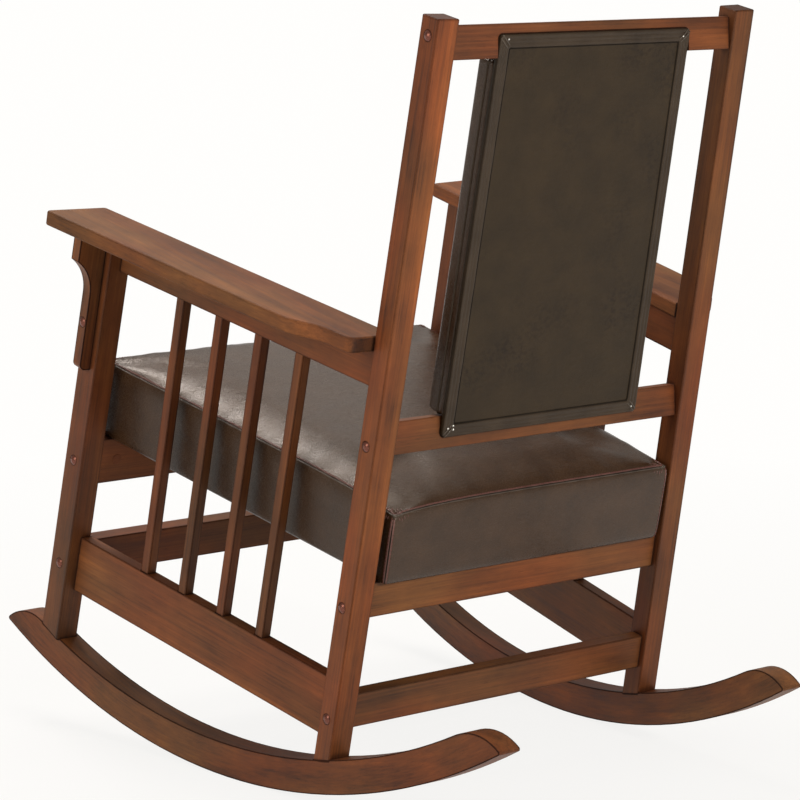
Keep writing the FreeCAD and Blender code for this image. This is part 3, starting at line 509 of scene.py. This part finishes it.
def cushion(name, corners_at, radius, walls, seam, crown, reach, counts, near, place, material, groove=0.9,
            pucker=0.5, settle=tuple):
    """A boxed cushion: crowned top, a grooved seam along the top edge, walls that draw in, and a closed underside.

    walls lists (height, inset) from the seam down; seam is the (height, inset) of the top edge. The
    rows returned are the points of the seam and then of each wall row."""
    shares = (spread(counts[0], near[0]), spread(counts[1], near[1]))
    s0, s1, s2, s3 = side_points(corners_at(seam[1]), radius, shares)
    s2, s3 = s2[::-1], s3[::-1]
    n0, n1 = len(shares[0]), len(shares[1])
    span0 = np.hypot(*(s0[-1] - s0[0]))
    span1 = np.hypot(*(s1[-1] - s1[0]))

    def top(i, j):
        return i * n1 + j

    verts = []
    for i, u in enumerate(shares[0]):
        for j, v in enumerate(shares[1]):
            p = (1 - v) * s0[i] + v * s2[i] + (1 - u) * s3[j] + u * s1[j]
            p -= (1 - u) * (1 - v) * s0[0] + u * (1 - v) * s0[-1] + (1 - u) * v * s2[0] + u * v * s2[-1]
            du = min(u, 1 - u) * span0
            dv = min(v, 1 - v) * span1
            d = min(du, dv)
            full = STEEP_SHARE * rise(du, reach) * rise(dv, reach)
            full += (1 - STEEP_SHARE) * rise(du, 4 * reach) * rise(dv, 4 * reach)
            run = v * span1 if du < dv else u * span0
            h = seam[0] + crown * full - groove * math.exp(-(d / GROOVE_HALF) ** 2) + pucker * ripple(run, d)
            verts.append((p[0], p[1], h))
    faces = [(top(i, j), top(i + 1, j), top(i + 1, j + 1), top(i, j + 1))
             for i in range(n0 - 1) for j in range(n1 - 1)]
    ring = [top(i, 0) for i in range(n0 - 1)] + [top(n0 - 1, j) for j in range(n1 - 1)]
    ring += [top(i, n1 - 1) for i in range(n0 - 1, 0, -1)] + [top(0, j) for j in range(n1 - 1, 0, -1)]
    rows = [ring]
    for height, inset in walls:
        loop = around(corners_at(inset), radius, shares)
        row = list(range(len(verts), len(verts) + len(loop)))
        verts += [(x, y, height) for x, y in loop]
        for k in range(len(row)):
            after = (k + 1) % len(row)
            faces.append((rows[-1][k], row[k], row[after], rows[-1][after]))
        rows.append(row)
    faces.append(tuple(rows[-1][::-1]))
    obj = make_object(name, [place @ Vector(settle(v)) for v in verts], faces, material)
    if obj.data.polygons[0].normal.dot(unit(place, UP)) < 0:
        obj.data.flip_normals()
    return obj, rows


COVER_PRESSURE = 3.0
COVER_CAP = 0.003
COVER_FRAMES = 20


def swell(obj, held_rows):
    """Blow the cover up a little over its filling with cloth, and keep the result within a cap."""
    start = np.empty(len(obj.data.vertices) * 3, np.float32)
    obj.data.vertices.foreach_get("co", start)
    group = obj.vertex_groups.new(name="held")
    group.add([v for row in held_rows for v in row], 1.0, "REPLACE")
    cloth = obj.modifiers.new("cover", "CLOTH")
    settings = cloth.settings
    settings.quality = 6
    settings.mass = 0.6
    settings.tension_stiffness = 60
    settings.compression_stiffness = 60
    settings.shear_stiffness = 30
    settings.bending_stiffness = 6
    settings.use_pressure = True
    settings.uniform_pressure_force = COVER_PRESSURE
    settings.vertex_group_mass = "held"
    settings.effector_weights.gravity = 0
    cloth.collision_settings.use_collision = False
    for frame_number in range(1, COVER_FRAMES + 1):
        scene.frame_set(frame_number)
    shaped = obj.evaluated_get(bpy.context.evaluated_depsgraph_get()).data
    end = np.empty_like(start)
    shaped.vertices.foreach_get("co", end)
    obj.modifiers.remove(cloth)
    obj.vertex_groups.remove(group)
    move = (end - start).reshape(-1, 3)
    size = np.linalg.norm(move, axis=1, keepdims=True)
    move *= np.minimum(1.0, COVER_CAP / np.maximum(size, 1e-9))
    obj.data.vertices.foreach_set("co", (start.reshape(-1, 3) + move).ravel())
    obj.data.update()
    scene.frame_set(1)


def tube(name, path, radii, material, normal, closed=True, sides=8, squash=1.0):
    """A cord along a path of points, of one radius or of one for each point."""
    count = len(path)
    if isinstance(radii, float):
        radii = [radii] * count
    verts = []
    for i, p in enumerate(path):
        before = path[i - 1] if closed or i > 0 else p
        after = path[(i + 1) % count] if closed or i < count - 1 else p
        run = (after - before).normalized()
        flat = (normal - run * normal.dot(run)).normalized()
        across = run.cross(flat)
        for k in range(sides):
            a = 2 * math.pi * k / sides
            verts.append(p + across * (radii[i] * math.cos(a)) + flat * (radii[i] * squash * math.sin(a)))
    faces = []
    for i in range(count if closed else count - 1):
        faces += ring_faces(i * sides, (i + 1) % count * sides, sides)
    if not closed:
        faces.append(tuple(range(sides))[::-1])
        faces.append(tuple((count - 1) * sides + k for k in range(sides)))
    return closed_object(name, verts, faces, material)


def turned(name, profile, top, bottom, centre, axis, material, sides, smooth=True):
    """A small turned piece: rings of (radius, height) along an axis, closed by a point at each end."""
    side = axis.orthogonal().normalized()
    other = axis.cross(side)
    verts = [centre + axis * (top * MM), centre + axis * (bottom * MM)]
    for radius, height in profile:
        for k in range(sides):
            a = 2 * math.pi * k / sides
            spoke = side * math.cos(a) + other * math.sin(a)
            verts.append(centre + spoke * (radius * MM) + axis * (height * MM))
    last = 2 + sides * (len(profile) - 1)
    faces = []
    for k in range(sides):
        m = (k + 1) % sides
        faces += [(0, 2 + k, 2 + m), (1, last + m, last + k)]
    for ring in range(2, last, sides):
        faces += ring_faces(ring, ring + sides, sides)
    return closed_object(name, verts, faces, material, smooth)


STITCH_PITCH, STITCH_LENGTH, STITCH_THICK = 0.0042, 0.0034, 0.00084


def stitches(name, paths, material):
    """Short stitches set at even steps along seam lines."""
    curve = bpy.data.curves.new(name + " line", "CURVE")
    curve.dimensions = "3D"
    for path, closed in paths:
        spline = curve.splines.new("POLY")
        spline.points.add(len(path) - 1)
        for point, p in zip(spline.points, path):
            point.co = (*p, 1.0)
        spline.use_cyclic_u = closed
    line = bpy.data.objects.new(name, curve)
    scene.collection.objects.link(line)
    tree = bpy.data.node_groups.new(name + " nodes", "GeometryNodeTree")
    tree.interface.new_socket("Geometry", in_out="INPUT", socket_type="NodeSocketGeometry")
    sizes = {}
    for word, value in (("Pitch", STITCH_PITCH), ("Length", STITCH_LENGTH), ("Thickness", STITCH_THICK)):
        item = tree.interface.new_socket(word, in_out="INPUT", socket_type="NodeSocketFloat")
        sizes[item.identifier] = value
    tree.interface.new_socket("Geometry", in_out="OUTPUT", socket_type="NodeSocketGeometry")
    source = tree.nodes.new("NodeGroupInput")
    sink = tree.nodes.new("NodeGroupOutput")
    thick = source.outputs["Thickness"]
    steps = add(tree, "GeometryNodeCurveToPoints", {"mode": "LENGTH"},
                {"Curve": source.outputs["Geometry"], "Length": source.outputs["Pitch"]})
    bead = add(tree, "GeometryNodeMeshUVSphere", None, {"Segments": 6, "Rings": 5, "Radius": 0.5})
    size = add(tree, "ShaderNodeCombineXYZ", None, {0: thick, 1: thick, 2: source.outputs["Length"]})
    shape = add(tree, "GeometryNodeTransform", None,
                {"Geometry": bead.outputs["Mesh"], "Scale": size.outputs["Vector"]})
    along = add(tree, "FunctionNodeAlignRotationToVector", {"axis": "Z"}, {"Vector": steps.outputs["Tangent"]})
    copies = add(tree, "GeometryNodeInstanceOnPoints", None,
                 {"Points": steps.outputs["Points"], "Instance": shape.outputs["Geometry"],
                  "Rotation": along.outputs["Rotation"]})
    real = add(tree, "GeometryNodeRealizeInstances", None, {"Geometry": copies.outputs["Instances"]})
    finish = add(tree, "GeometryNodeSetMaterial", None,
                 {"Geometry": real.outputs["Geometry"], "Material": material})
    tree.links.new(finish.outputs["Geometry"], sink.inputs[0])
    modifier = line.modifiers.new("stitches", "NODES")
    modifier.node_group = tree
    for identifier, value in sizes.items():
        modifier[identifier] = value
    bpy.context.view_layer.update()
    made = bpy.data.meshes.new_from_object(line.evaluated_get(bpy.context.evaluated_depsgraph_get()))
    made.name = name
    bpy.data.objects.remove(line)
    obj = bpy.data.objects.new(name, made)
    scene.collection.objects.link(obj)
    made.shade_smooth()
    return obj


def keep(obj, slot, *stands_for):
    """The piece belongs to the chair's one body, and takes the place of the CAD nodes named."""
    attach(obj, "root")
    if stands_for:
        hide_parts(*stands_for)


def surface(obj):
    mesh = obj.data
    return BVHTree.FromPolygons([v.co for v in mesh.vertices], [tuple(p.vertices) for p in mesh.polygons])


def drape(points, tree, lift):
    """Points set down on the nearest place of a surface and lifted off it."""
    out = []
    for p in points:
        spot, normal, _, _ = tree.find_nearest(p)
        out.append(spot + normal * lift)
    return out


# Turned plugs that close the nut bores inside the cross rails: flush at the rear, with a button head in front
FLUSH = [(5.0, 0.0), (5.0, -1.9)]
BUTTON = [(6.0, 0.45), (6.7, 0.35), (7.1, 0.02), (5.0, 0.02), (5.0, -1.9)]
FRONT_RAIL_T, FRONT_STRETCHER_T, BACK_RAIL_T, REAR_RAIL_T = 26.0, 24.0, 16.5, 18.0
NUT_SPAN = 0.016
plug_timber = wood("plug timber", SIDEWAYS, plumb, (5.1, 0.2, 0.6), 0.85, 0.0001)
rear_axis = unit(CHAIR, BACK)
loose = [v.co.copy() for v in nodes["barrel_nuts"].data.vertices]
plugs = 0
while loose:
    nut = [p for p in loose if (p - loose[0]).length < NUT_SPAN]
    loose = [p for p in loose if (p - loose[0]).length >= NUT_SPAN]
    low = Vector([min(p[i] for p in nut) for i in range(3)])
    high = Vector([max(p[i] for p in nut) for i in range(3)])
    middle = (low + high) / 2
    if middle.y < -0.1:
        inside, profile = rear_axis, BUTTON
        thick = FRONT_RAIL_T if middle.z > 0.3 else FRONT_STRETCHER_T
    else:
        inside, profile = -rear_axis, FLUSH
        thick = BACK_RAIL_T if middle.z > 0.4 else REAR_RAIL_T
    plugs += 1
    face = middle + inside * ((thick / 2 - 1.0) * MM)
    keep(turned("bore_plug_%d" % plugs, profile, profile[0][1], profile[-1][1], face, inside, plug_timber, 24, False),
         "stained_oak")

# Seat cushion
SEAT_REAR, SEAT_FRONT, SEAT_REAR_HALF = 4.0, -572.4, 228.5
SEAT_MIDDLE = (SEAT_REAR + SEAT_FRONT) / 2
SEAT_CORNER = 5.0
SEAM_HEIGHT, SEAM_INSET = 99.5, 4.5
SEAT_UP = unit(SEAT, UP)


def seat_corners(inset):
    """The seat's plan, drawn in by an inset: left rear, left front, right front, right rear."""
    rear = SEAT_REAR - inset
    front = SEAT_FRONT + inset
    rear_x = SEAT_REAR_HALF - inset + SPREAD * (-rear - POST_DEPTH)
    front_x = SEAT_REAR_HALF - inset + SPREAD * (-front - POST_DEPTH)
    return [(rear_x, rear), (front_x, front), (-front_x, front), (-rear_x, rear)]


def slumped(p):
    """The seat's left rear corner has sunk a little, more at the top than at the foot."""
    x, y = seat_corners(0.0)[0]
    away = math.hypot(p[0] - x, p[1] - y)
    return p[0], p[1], p[2] - 11.0 * math.exp(-away / 58.0) * min(1.2, p[2] / 100.0)


seat_walls = [(98.7, 3.2), (97.2, 2.1), (94.0, 1.2), (90.0, 0.6), (84.0, 0.2), (72.0, 0.0), (56.0, 0.0),
              (40.0, 0.0), (24.0, 0.0), (14.0, 0.2), (8.0, 0.6), (3.0, 1.4), (0.8, 2.6), (0.3, 5.0), (1.4, 12.0)]
seat_near = ([0.0016, 0.0034, 0.0065, 0.012, 0.020], [0.0018, 0.0038, 0.0072, 0.013, 0.022])
seat, seat_rows = cushion("seat_cushion", seat_corners, SEAT_CORNER, seat_walls, (SEAM_HEIGHT, SEAM_INSET), 20.0,
                          13.0, (58, 54), seat_near, SEAT, seat_leather, settle=slumped)
swell(seat, seat_rows[7:] + seat_rows[:1])
keep(seat, "brown_leather", "seat_leather_cover", "seat_foam")

# Seams of the seat: two rolled edges with a gap between them, drawn up in small puckers by each corner
seat_tree = surface(seat)
EVEN = (np.linspace(0, 1, 240),) * 2
SEAM_R, EDGE_R, SHADOW_CORD_R = 0.0010, 0.0009, 0.0007
SUNK = -0.0003


def on_seat(x, y, height):
    return SEAT @ Vector(slumped((x, y, height)))


def seam_run(inset, height, lift):
    loop = around(seat_corners(inset), SEAT_CORNER, EVEN)
    return drape([on_seat(x, y, height) for x, y in loop], seat_tree, lift)


def corner_run(corner, step, lift):
    """A line down one corner of the boxed wall, a little to one side of its middle."""
    share = abs(step) / 480.0
    run = side_points(seat_corners(0.0), SEAT_CORNER, (np.array([0, share, 1 - share, 1]),) * 2)
    x, y = run[corner][1] if step > 0 else run[corner - 1][2]
    return drape([on_seat(x, y, height) for height in np.linspace(96.0, 3.0, 40)], seat_tree, lift)


def corner_out(corner):
    x, y = seat_corners(0.0)[corner]
    return unit(SEAT, (x, y - SEAT_MIDDLE, 0))


def puckered(path, radius):
    """Cord radii that swell and pinch close to the seat's corners."""
    radii = []
    for i, p in enumerate(path):
        near = min((p - c).length for c in seat_tops)
        wave = math.sin(1250.0 * near + 0.7 * math.sin(i * 0.9))
        radii.append(radius * (1 + 0.9 * (1 + wave) * math.exp(-near / 0.014) + 0.10 * math.sin(i * 0.37)))
    return radii


seat_tops = [on_seat(x, y, SEAM_HEIGHT) for x, y in seat_corners(SEAM_INSET)]
for word, inset, height, radius, material in (("upper", 5.6, 100.6, SEAM_R, edge_leather),
                                              ("lower", 3.7, 98.4, EDGE_R, fold_leather)):
    path = seam_run(inset, height, SUNK)
    keep(tube("seat_rolled_edge_" + word, path, puckered(path, radius), material, SEAT_UP), "brown_leather")
# Painted shade: a near-black cord in the seam's groove darkens it.
keep(tube("seat_seam_shadow_cord", seam_run(4.6, SEAM_HEIGHT, 0.0), SHADOW_CORD_R, shadow_line_leather, SEAT_UP), "brown_leather")
seat_paths = [(seam_run(6.2, 101.2, 0.0007), True)]
for corner in range(4):
    out = corner_out(corner)
    for word, step in (("a", -1.4), ("b", 1.4)):
        path = corner_run(corner, step, SUNK)
        keep(tube("seat_corner_edge_%d%s" % (corner + 1, word), path, puckered(path, EDGE_R), edge_leather, out,
                  False), "brown_leather")
        seat_paths.append((corner_run(corner, 1.8 * step, 0.0003), False))
    # Painted shade: a near-black cord down each corner darkens the gap between the corner's rolled edges.
    keep(tube("seat_corner_shadow_cord_%d" % (corner + 1), corner_run(corner, 0.01, 0.0001), SHADOW_CORD_R, shadow_line_leather,
              out, False), "brown_leather")


def drawn_folds(name, material):
    """Short folds in the leather where the seams meet at each corner of the seat."""
    bits = []
    tops = [np.array(corner) for corner in seat_corners(SEAM_INSET)]
    thick = [0.0008 * math.sin(math.pi * t) + 0.0001 for t in np.linspace(0.05, 0.95, 8)]
    for corner, here in enumerate(tops):
        for other in (corner - 1, (corner + 1) % 4):
            along = tops[other] - here
            along /= np.hypot(*along)
            inward = np.array((-along[1], along[0]))
            inward *= 1 if inward @ (np.array((0.0, SEAT_MIDDLE)) - here) > 0 else -1
            for k, (step, length) in enumerate(((5.5, 6.0), (9.5, 8.0), (14.0, 6.0), (19.5, 4.0))):
                for on_top in (True, False):
                    line = []
                    for t in np.linspace(0.2, 1.0, 8):
                        at = here + along * (step + 1.6 * t * (1 - 0.3 * k))
                        at += inward * (length * t if on_top else -2.0)
                        line.append(on_seat(*at, 101.5 + 8.0 * t if on_top else 97.0 - length * t))
                    bits.append(tube("fold", drape(line, seat_tree, -0.0001), thick, material,
                                     SEAT_UP + corner_out(corner), False, 6))
    with bpy.context.temp_override(active_object=bits[0], selected_editable_objects=bits):
        bpy.ops.object.join()
    bits[0].name = name
    return bits[0]


keep(drawn_folds("seat_drawn_folds", edge_leather), "brown_leather")
keep(stitches("seat_stitching", seat_paths, thread), "brown_leather")

# Back pad between the rails, facing the sitter
PLATE_FRONT = -10.8
PLATE_LOW, PLATE_HIGH = 474.0, 969.0
PAD_LOW, PAD_HIGH = 500.3, 937.2
PAD_CORNER = 5.0
PAD = CHAIR @ Matrix.Translation((0, PLATE_FRONT, 0)) @ Matrix.Rotation(math.pi / 2, 4, "X")


def back_corners(inset, low, high):
    """The back's outline between two heights, narrower toward the top, drawn in by an inset."""
    def half(z):
        return 158.5 - inset - 0.0142 * (z - PLATE_LOW)

    low += inset
    high -= inset
    return [(half(low), low), (half(high), high), (-half(high), high), (-half(low), low)]


def pad_corners(inset):
    return back_corners(inset, PAD_LOW, PAD_HIGH)


def plate_corners(inset):
    return back_corners(inset, PLATE_LOW, PLATE_HIGH)


pad_walls = [(26.4, 1.3), (25.0, 0.7), (23.0, 0.25), (18.0, 0.0), (12.0, 0.0), (6.0, 0.0), (2.0, 0.4), (0.2, 1.2),
             (0.2, 6.0)]
pad_near = ([0.0022, 0.0045, 0.009, 0.016, 0.028], [0.003, 0.0062, 0.012, 0.022, 0.038])
pad, pad_rows = cushion("back_pad", pad_corners, PAD_CORNER, pad_walls, (27.5, 2.0), 11.0, 16.0, (52, 38), pad_near,
                        PAD, seat_leather)
swell(pad, pad_rows[4:] + pad_rows[:1])
keep(pad, "brown_leather", "back_pad_cover", "back_pad_foam")
pad_line = drape(placed(around(pad_corners(4.6), 4.0, EVEN), 29.0, PAD), surface(pad), 0.0002)
keep(stitches("pad_stitching", [(pad_line, True)], thread), "brown_leather")

# Rear panel: leather over the board, with a ridged band tacked round its edge
PANEL = (CHAIR @ Matrix.Translation((0, PLATE_FRONT, 0)) @ Matrix.Rotation(-math.pi / 2, 4, "X")
         @ Matrix.Scale(-1, 4, BACK))
REARWARD = unit(PANEL, UP)
PANEL_EVEN = (np.linspace(0, 1, 150), np.linspace(0, 1, 110))
panel_walls = [(5.2, 0.4), (4.6, 0.1), (3.0, 0.0), (1.0, 0.1), (0.3, 0.8), (0.3, 4.0)]
panel_near = ([0.002, 0.006, 0.014, 0.026, 0.036], [0.003, 0.01, 0.022, 0.042, 0.056])
panel, _ = cushion("rear_panel", plate_corners, 6.0, panel_walls, (5.4, 1.2), 1.6, 30.0, (60, 44), panel_near, PANEL,
                   panel_leather, 0.0, 0.0)
keep(panel, "brown_leather", "back_rear_cover")


def panel_loop(inset, height):
    return placed(around(plate_corners(inset), max(1.0, 5.0 - 0.3 * inset), PANEL_EVEN), height, PANEL)


def ridged_band(name, profile, material):
    """A closed band round the panel, its section given as (inset, height) points, a little uneven on top."""
    loops = [panel_loop(inset, height) for inset, height in profile]
    count = len(loops[0])
    verts = []
    faces = []
    for row, loop in enumerate(loops):
        for k, p in enumerate(loop):
            shake = 0.00018 * math.sin(k * 0.31 + row * 1.9) * math.sin(k * 0.073 + row)
            verts.append(p + REARWARD * (shake if profile[row][1] > 6.0 else 0.0))
        faces += ring_faces(row * count, (row + 1) % len(loops) * count, count)
    return closed_object(name, verts, faces, material)


band = [(0.4, 5.0), (0.2, 6.2), (1.0, 7.0), (2.4, 7.3), (4.0, 7.0), (5.0, 6.5), (5.9, 6.9), (7.4, 7.2), (9.0, 7.0),
        (10.0, 6.5), (10.9, 6.9), (12.4, 7.2), (14.2, 7.1), (15.4, 6.6), (15.8, 5.6), (15.6, 5.0)]
keep(ridged_band("panel_band", band, trim_leather), "brown_leather")
# Painted shade: a near-black cord just inside the band darkens its inner edge.
keep(tube("panel_shadow_cord", panel_loop(16.6, 6.0), SHADOW_CORD_R, shadow_line_leather, REARWARD, squash=0.7),
     "brown_leather")

# Tacks and folds at the panel's corners
DOME_TOP, DOME_FOOT = 1.3, -0.6
DOME = [(0.8, 1.1), (1.3, 0.55), (1.45, 0.0)]
BAND_TOP = 6.9
low_half, high_half = plate_corners(0.0)[0][0], plate_corners(0.0)[1][0]
tack_places = [(low_half - 7.3, PLATE_LOW + 11.6), (low_half - 15.0, PLATE_LOW + 14.6),
               (low_half - 15.8, PLATE_LOW + 9.4), (high_half - 12.2, PLATE_HIGH - 5.0),
               (9.0 - low_half, PLATE_LOW + 8.0), (11.0 - high_half, PLATE_HIGH - 9.0)]
for i, (x, z) in enumerate(tack_places):
    keep(turned("panel_tack_%d" % (i + 1), DOME, DOME_TOP, DOME_FOOT, PANEL @ Vector((x, z, BAND_TOP)), REARWARD,
                tack_steel, 12), "plated_steel")
fold_thick = [0.0009 * (0.35 + 0.65 * math.sin(math.pi * t)) for t in np.linspace(0.03, 0.97, 14)]
for i, ((x0, z0), (x1, z1)) in enumerate(zip(plate_corners(15.0), plate_corners(1.6))):
    for word, slide in (("a", -1.5), ("b", 1.5)):
        x_slide = slide if z0 > 700 else -slide
        z_slide = -slide if x0 > 0 else slide
        fold = [PANEL @ Vector((x0 + (x1 - x0) * t + x_slide, z0 + (z1 - z0) * t + z_slide,
                                6.75 + 0.5 * math.sin(math.pi * t))) for t in np.linspace(0, 1, 14)]
        keep(tube("panel_fold_%d%s" % (i + 1, word), fold, fold_thick, fold_leather, REARWARD, False, squash=0.8),
             "brown_leather")

# Cord of leather round the pad's side
cord_path = placed(around(pad_corners(-0.2), PAD_CORNER, PANEL_EVEN), 9.0, PAD)
keep(tube("pad_piping", cord_path, 0.0013, trim_leather, REARWARD), "brown_leather")

# Dust cloth stapled under the seat: two layers of rings that close toward the middle
CLOTH_INSET, CLOTH_CORNER = 13.0, 10.0
CLOTH_LOW, CLOTH_HIGH, CLOTH_SAG = 0.25, 0.95, 0.2
CLOTH_RINGS = 8
rim = around(seat_corners(CLOTH_INSET), CLOTH_CORNER, (np.linspace(0, 1, 40),) * 2)
middle = rim.mean(axis=0)
count = len(rim)
layer = (CLOTH_RINGS + 1) * count
verts = []
faces = ring_faces(0, layer, count)
for level in (CLOTH_LOW, CLOTH_HIGH):
    for ring in range(CLOTH_RINGS + 1):
        share = 1 - ring / CLOTH_RINGS
        if ring:
            faces += ring_faces(len(verts) - count, len(verts), count)
        verts += placed(middle + (rim - middle) * max(share, 0.001), level - CLOTH_SAG * (1 - share) ** 2, SEAT)
cloth = closed_object("dust_cloth", verts, faces, dust_cloth)
keep(cloth, "dust_cloth", "seat_dust_cover")

# Floor, light and camera
FLOOR_HALF = 30
floor_material, tree, shader = new_material("pale floor")
shader.inputs["Base Color"].default_value = (0.80, 0.79, 0.775, 1)
shader.inputs["Roughness"].default_value = 0.6
shader.inputs["Specular IOR Level"].default_value = 0.1
path = add(tree, "ShaderNodeLightPath")
seen = math_node(tree, "MAXIMUM", path.outputs["Is Camera Ray"], path.outputs["Is Glossy Ray"])
seen = math_node(tree, "MAXIMUM", seen, path.outputs["Is Transmission Ray"])
reach = vector_node(tree, "LENGTH", add(tree, "ShaderNodeTexCoord").outputs["Object"])
white = add(tree, "ShaderNodeMapRange", None, {"Value": reach, "From Min": 0.7, "From Max": 2.2,
                                               "To Min": 0.86, "To Max": 1.0}).outputs[0]
glow = add(tree, "ShaderNodeEmission", None, {"Color": (1.0, 0.993, 0.978, 1), "Strength": 1.0})
both = add(tree, "ShaderNodeMixShader", None,
           {0: math_node(tree, "MULTIPLY", seen, white), 1: shader.outputs[0], 2: glow.outputs[0]})
tree.links.new(both.outputs[0], tree.nodes["Material Output"].inputs["Surface"])
floor_corners = [(x * FLOOR_HALF, y * FLOOR_HALF, 0) for x, y in ((-1, -1), (1, -1), (1, 1), (-1, 1))]
floor = make_object("floor", floor_corners, [(0, 1, 2, 3)], floor_material, False)

WORLD_LIGHT, WORLD_SEEN = 0.35, 1.0
world = bpy.data.worlds.new("studio")
scene.world = world
world.use_nodes = True
tree = world.node_tree
back = tree.nodes["Background"]
path = add(tree, "ShaderNodeLightPath")
seen = math_node(tree, "MAXIMUM", path.outputs["Is Camera Ray"], path.outputs["Is Transmission Ray"])
strength = math_node(tree, "MULTIPLY_ADD", seen, WORLD_SEEN - WORLD_LIGHT, WORLD_LIGHT)
tree.links.new(strength, back.inputs["Strength"])
tree.links.new(mix(tree, "MIX", seen, (1.0, 0.97, 0.92), (1.0, 0.995, 0.985)), back.inputs["Color"])


def lamp(name, place, aim, size, power, colour=(1, 1, 1), tall=None, mirrored=True):
    """An area lamp: round, or a rectangle where a second size is given."""
    data = bpy.data.lights.new(name, "AREA")
    data.shape = "RECTANGLE" if tall else "DISK"
    data.size = size
    if tall:
        data.size_y = tall
    data.energy = power
    data.color = colour
    obj = bpy.data.objects.new(name, data)
    scene.collection.objects.link(obj)
    obj.visible_glossy = mirrored
    obj.location = place
    obj.rotation_euler = (Vector(place) - Vector(aim)).to_track_quat("Z", "Y").to_euler()


lamp("key", (0.0, 3.1, 1.25), (0, 0, 0.5), 0.25, 48, (1.0, 0.96, 0.90))
lamp("side", (2.95, 0.0, 1.5), (0, 0, 0.5), 1.4, 27, (1.0, 0.94, 0.86))
lamp("top soft", (-0.2, -0.4, 3.2), (0, 0, 0.5), 1.6, 28, (1.0, 0.96, 0.90))
lamp("shoulder", (-0.1, -2.1, 3.0), (0.15, -0.1, 0.45), 0.8, 42, (1.0, 0.92, 0.87), 0.9)
lamp("arm sheen", (-1.75, -2.3, 2.2), (0, -0.1, 0.55), 1.5, 4, (1.0, 0.86, 0.76))
lamp("front fill", (-0.6, -3.3, 2.2), (0, -0.1, 0.45), 1.8, 14, mirrored=False)

AZIMUTH, ELEVATION = math.radians(141.344), math.radians(9.284)
CAMERA_PLACE = (2.45616, 3.04726, 1.09608)
level = math.cos(ELEVATION)
away = Vector((math.sin(AZIMUTH) * level, -math.cos(AZIMUTH) * level, math.sin(ELEVATION)))
right = Vector((math.cos(AZIMUTH), math.sin(AZIMUTH), 0))
camera_data = bpy.data.cameras.new("camera")
camera_data.sensor_width = 36
camera_data.lens = 137.25
camera = bpy.data.objects.new("camera", camera_data)
scene.collection.objects.link(camera)
facing = Matrix((right, away.cross(right), away)).transposed().to_4x4()
camera.matrix_world = Matrix.Translation(CAMERA_PLACE) @ facing
scene.camera = camera
scene.view_settings.view_transform = "Standard"
